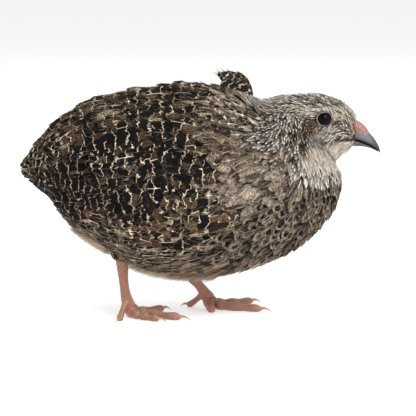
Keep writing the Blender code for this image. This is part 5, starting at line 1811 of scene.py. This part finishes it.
def leg_material():
    """Pinkish tan scaled skin with pale scute edges."""
    material, tree, shader = new_material("leg_skin", 0.48, Subsurface_Weight=0.15, Subsurface_Scale=0.001)
    place = object_coordinates(tree)
    cells = tree.add("ShaderNodeTexVoronoi", {"Vector": place, "Scale": 1100.0}, feature="DISTANCE_TO_EDGE")
    edge = tree.fall(cells.outputs["Distance"], 0.02, 0.16)
    blush = tree.noise(place, 260.0, 3.0)
    raised = tree.split(tree.attribute("Raised")["Color"])[0]
    base = tree.mix(tree.ramp(blush, 0.35, 0.65), bpy.context.scene.quail_colours.leg, TINTS["blush"])
    base = tree.veil(base, TINTS["scale_edge"], edge, 0.35)
    base = tree.veil(base, TINTS["scute"], tree.ramp(raised, 0.35, 0.75), 0.75)
    base = tree.veil(base, TINTS["scute_gap"], tree.fall(raised, -0.1, 0.15), 0.45)
    tree.dress(shader, base, tree.scaled(blush, 0.2, 0.24), edge, invert=True)
    return material


def claw_material():
    """Tan horn, mottled lighter and darker."""
    horn = bpy.context.scene.quail_colours.claw
    material, tree, shader = new_material("claw_horn", 0.36, Coat_Weight=0.2, Coat_Roughness=0.25)
    grain = tree.noise(object_coordinates(tree), 1400.0, 4.0)
    base = tree.mix(grain, shaded(horn, 0.7), shaded(horn, 1.35))
    tree.dress(shader, base, height=grain, strength=0.3, depth=0.0001)
    return material


class QUAIL_OT_feet(bpy.types.Operator):
    """Make both legs with their toes and claws"""

    bl_idname = "quail.feet"
    bl_label = "Feet"

    def execute(self, context):
        skin, horn = leg_material(), claw_material()
        for name, sizes in LEGS.items():
            points, faces, raised = foot_parts(sizes)
            mesh = turned_out(mesh_from_arrays(f"foot_{name}", points, faces))
            set_attribute(mesh, "Raised", np.column_stack([raised] * 4))
            nodes = [f"{kind}_{name}" for kind in ("tarsus", *sizes["toes"])]
            piece(f"foot_{name}", mesh, skin, nodes)
            nails = []
            for kind, points in sizes["toes"].items():
                toe, _ = toe_track(np.array(points), kind, 44)
                nails.append(ring_mesh(claw_rings(toe, kind)))
            mesh = turned_out(mesh_from_arrays(f"claws_{name}", *joined(nails)))
            piece(f"claws_{name}", mesh, horn, [f"claw_{kind}_{name}" for kind in sizes["toes"]])
        return {"FINISHED"}


class QUAIL_OT_studio(bpy.types.Operator):
    """Set up the pale floor, the soft lights and the camera"""

    bl_idname = "quail.studio"
    bl_label = "Studio"

    def execute(self, context):
        studio = context.scene.quail_studio
        self.floor(studio)
        self.world(studio)
        middle = Vector(PICTURE_MIDDLE)
        for name, (offset, size, share) in LAMPS.items():
            data = bpy.data.lights.new(name, "AREA")
            data.energy = studio.key * share
            data.size = size
            self.stand(name, data, Vector(offset), middle)
        data = bpy.data.cameras.new("camera")
        away = Vector((0, -math.cos(studio.elevation), math.sin(studio.elevation)))
        context.scene.camera = self.stand("camera", data, away * studio.distance, middle)
        data.sensor_width = 36.0
        data.lens = data.sensor_width * studio.distance / studio.width
        data.clip_start = 0.01
        context.scene.view_settings.view_transform = "Standard"
        return {"FINISHED"}

    def stand(self, name, data, offset, middle):
        """A lamp or camera at an offset from the middle that it looks at."""
        obj = bpy.data.objects.new(name, data)
        bpy.context.scene.collection.objects.link(obj)
        obj.location = middle + offset
        obj.rotation_euler = (-offset).to_track_quat("-Z", "Y").to_euler()
        return obj

    def floor(self, studio):
        mesh = bpy.data.meshes.new("floor")
        shape = bmesh.new()
        bmesh.ops.create_grid(shape, x_segments=1, y_segments=1, size=FLOOR_SIZE)
        shape.to_mesh(mesh)
        shape.free()
        material, tree, shader = new_material("floor", 0.6)
        cloud = tree.noise(object_coordinates(tree), 3.0, 2.0)
        tree.dress(shader, tree.mix(cloud, shaded(studio.floor, 0.99), studio.floor))
        tree.feed(shader.inputs["Emission Color"], (1, 1, 1))
        tree.feed(shader.inputs["Emission Strength"], studio.glow)
        mesh.materials.append(material)
        obj = bpy.data.objects.new("floor", mesh)
        bpy.context.scene.collection.objects.link(obj)

    def world(self, studio):
        """White round the horizon, and a dimmer sky that leaves the shading to the lamps."""
        world = bpy.data.worlds.new("studio")
        world.use_nodes = True
        tree = Tree(world.node_tree)
        background = world.node_tree.nodes["Background"]
        sky = tree.add("ShaderNodeTexCoord").outputs["Generated"]
        height = tree.add("ShaderNodeSeparateXYZ", {"Vector": sky}).outputs[2]
        tree.feed(background.inputs["Color"], (1, 1, 1))
        tree.feed(background.inputs["Strength"], tree.ramp(height, 0.16, 0.34, studio.world, studio.sky))
        bpy.context.scene.world = world


STEPS = (
    QUAIL_OT_skin,
    QUAIL_OT_body_plumage,
    QUAIL_OT_strands,
    QUAIL_OT_wings,
    QUAIL_OT_tail,
    QUAIL_OT_raised_scapulars,
    QUAIL_OT_eyes,
    QUAIL_OT_bill,
    QUAIL_OT_feet,
    QUAIL_OT_studio,
)


class QUAIL_PT_panel(bpy.types.Panel):
    """Lists the settings and the steps"""

    bl_label = "Coturnix quail"
    bl_idname = "QUAIL_PT_panel"
    bl_space_type = "VIEW_3D"
    bl_region_type = "UI"
    bl_category = "Quail"

    def draw(self, context):
        scene = context.scene
        for settings in (scene.quail_sizes, scene.quail_colours, scene.quail_studio):
            box = self.layout.box()
            for name in type(settings).__annotations__:
                box.prop(settings, name)
        for step in STEPS:
            self.layout.operator(step.bl_idname)


CLASSES = (PlumageColours, PlumageSizes, StudioSettings, *STEPS, QUAIL_PT_panel)


def register():
    for cls in CLASSES:
        bpy.utils.register_class(cls)
    bpy.types.Scene.quail_colours = PointerProperty(type=PlumageColours)
    bpy.types.Scene.quail_sizes = PointerProperty(type=PlumageSizes)
    bpy.types.Scene.quail_studio = PointerProperty(type=StudioSettings)


def unregister():
    del bpy.types.Scene.quail_studio
    del bpy.types.Scene.quail_sizes
    del bpy.types.Scene.quail_colours
    for cls in reversed(CLASSES):
        bpy.utils.unregister_class(cls)


def main():
    register()
    for step in STEPS:
        group, name = step.bl_idname.split(".")
        getattr(getattr(bpy.ops, group), name)()


if __name__ == "__main__":
    main()
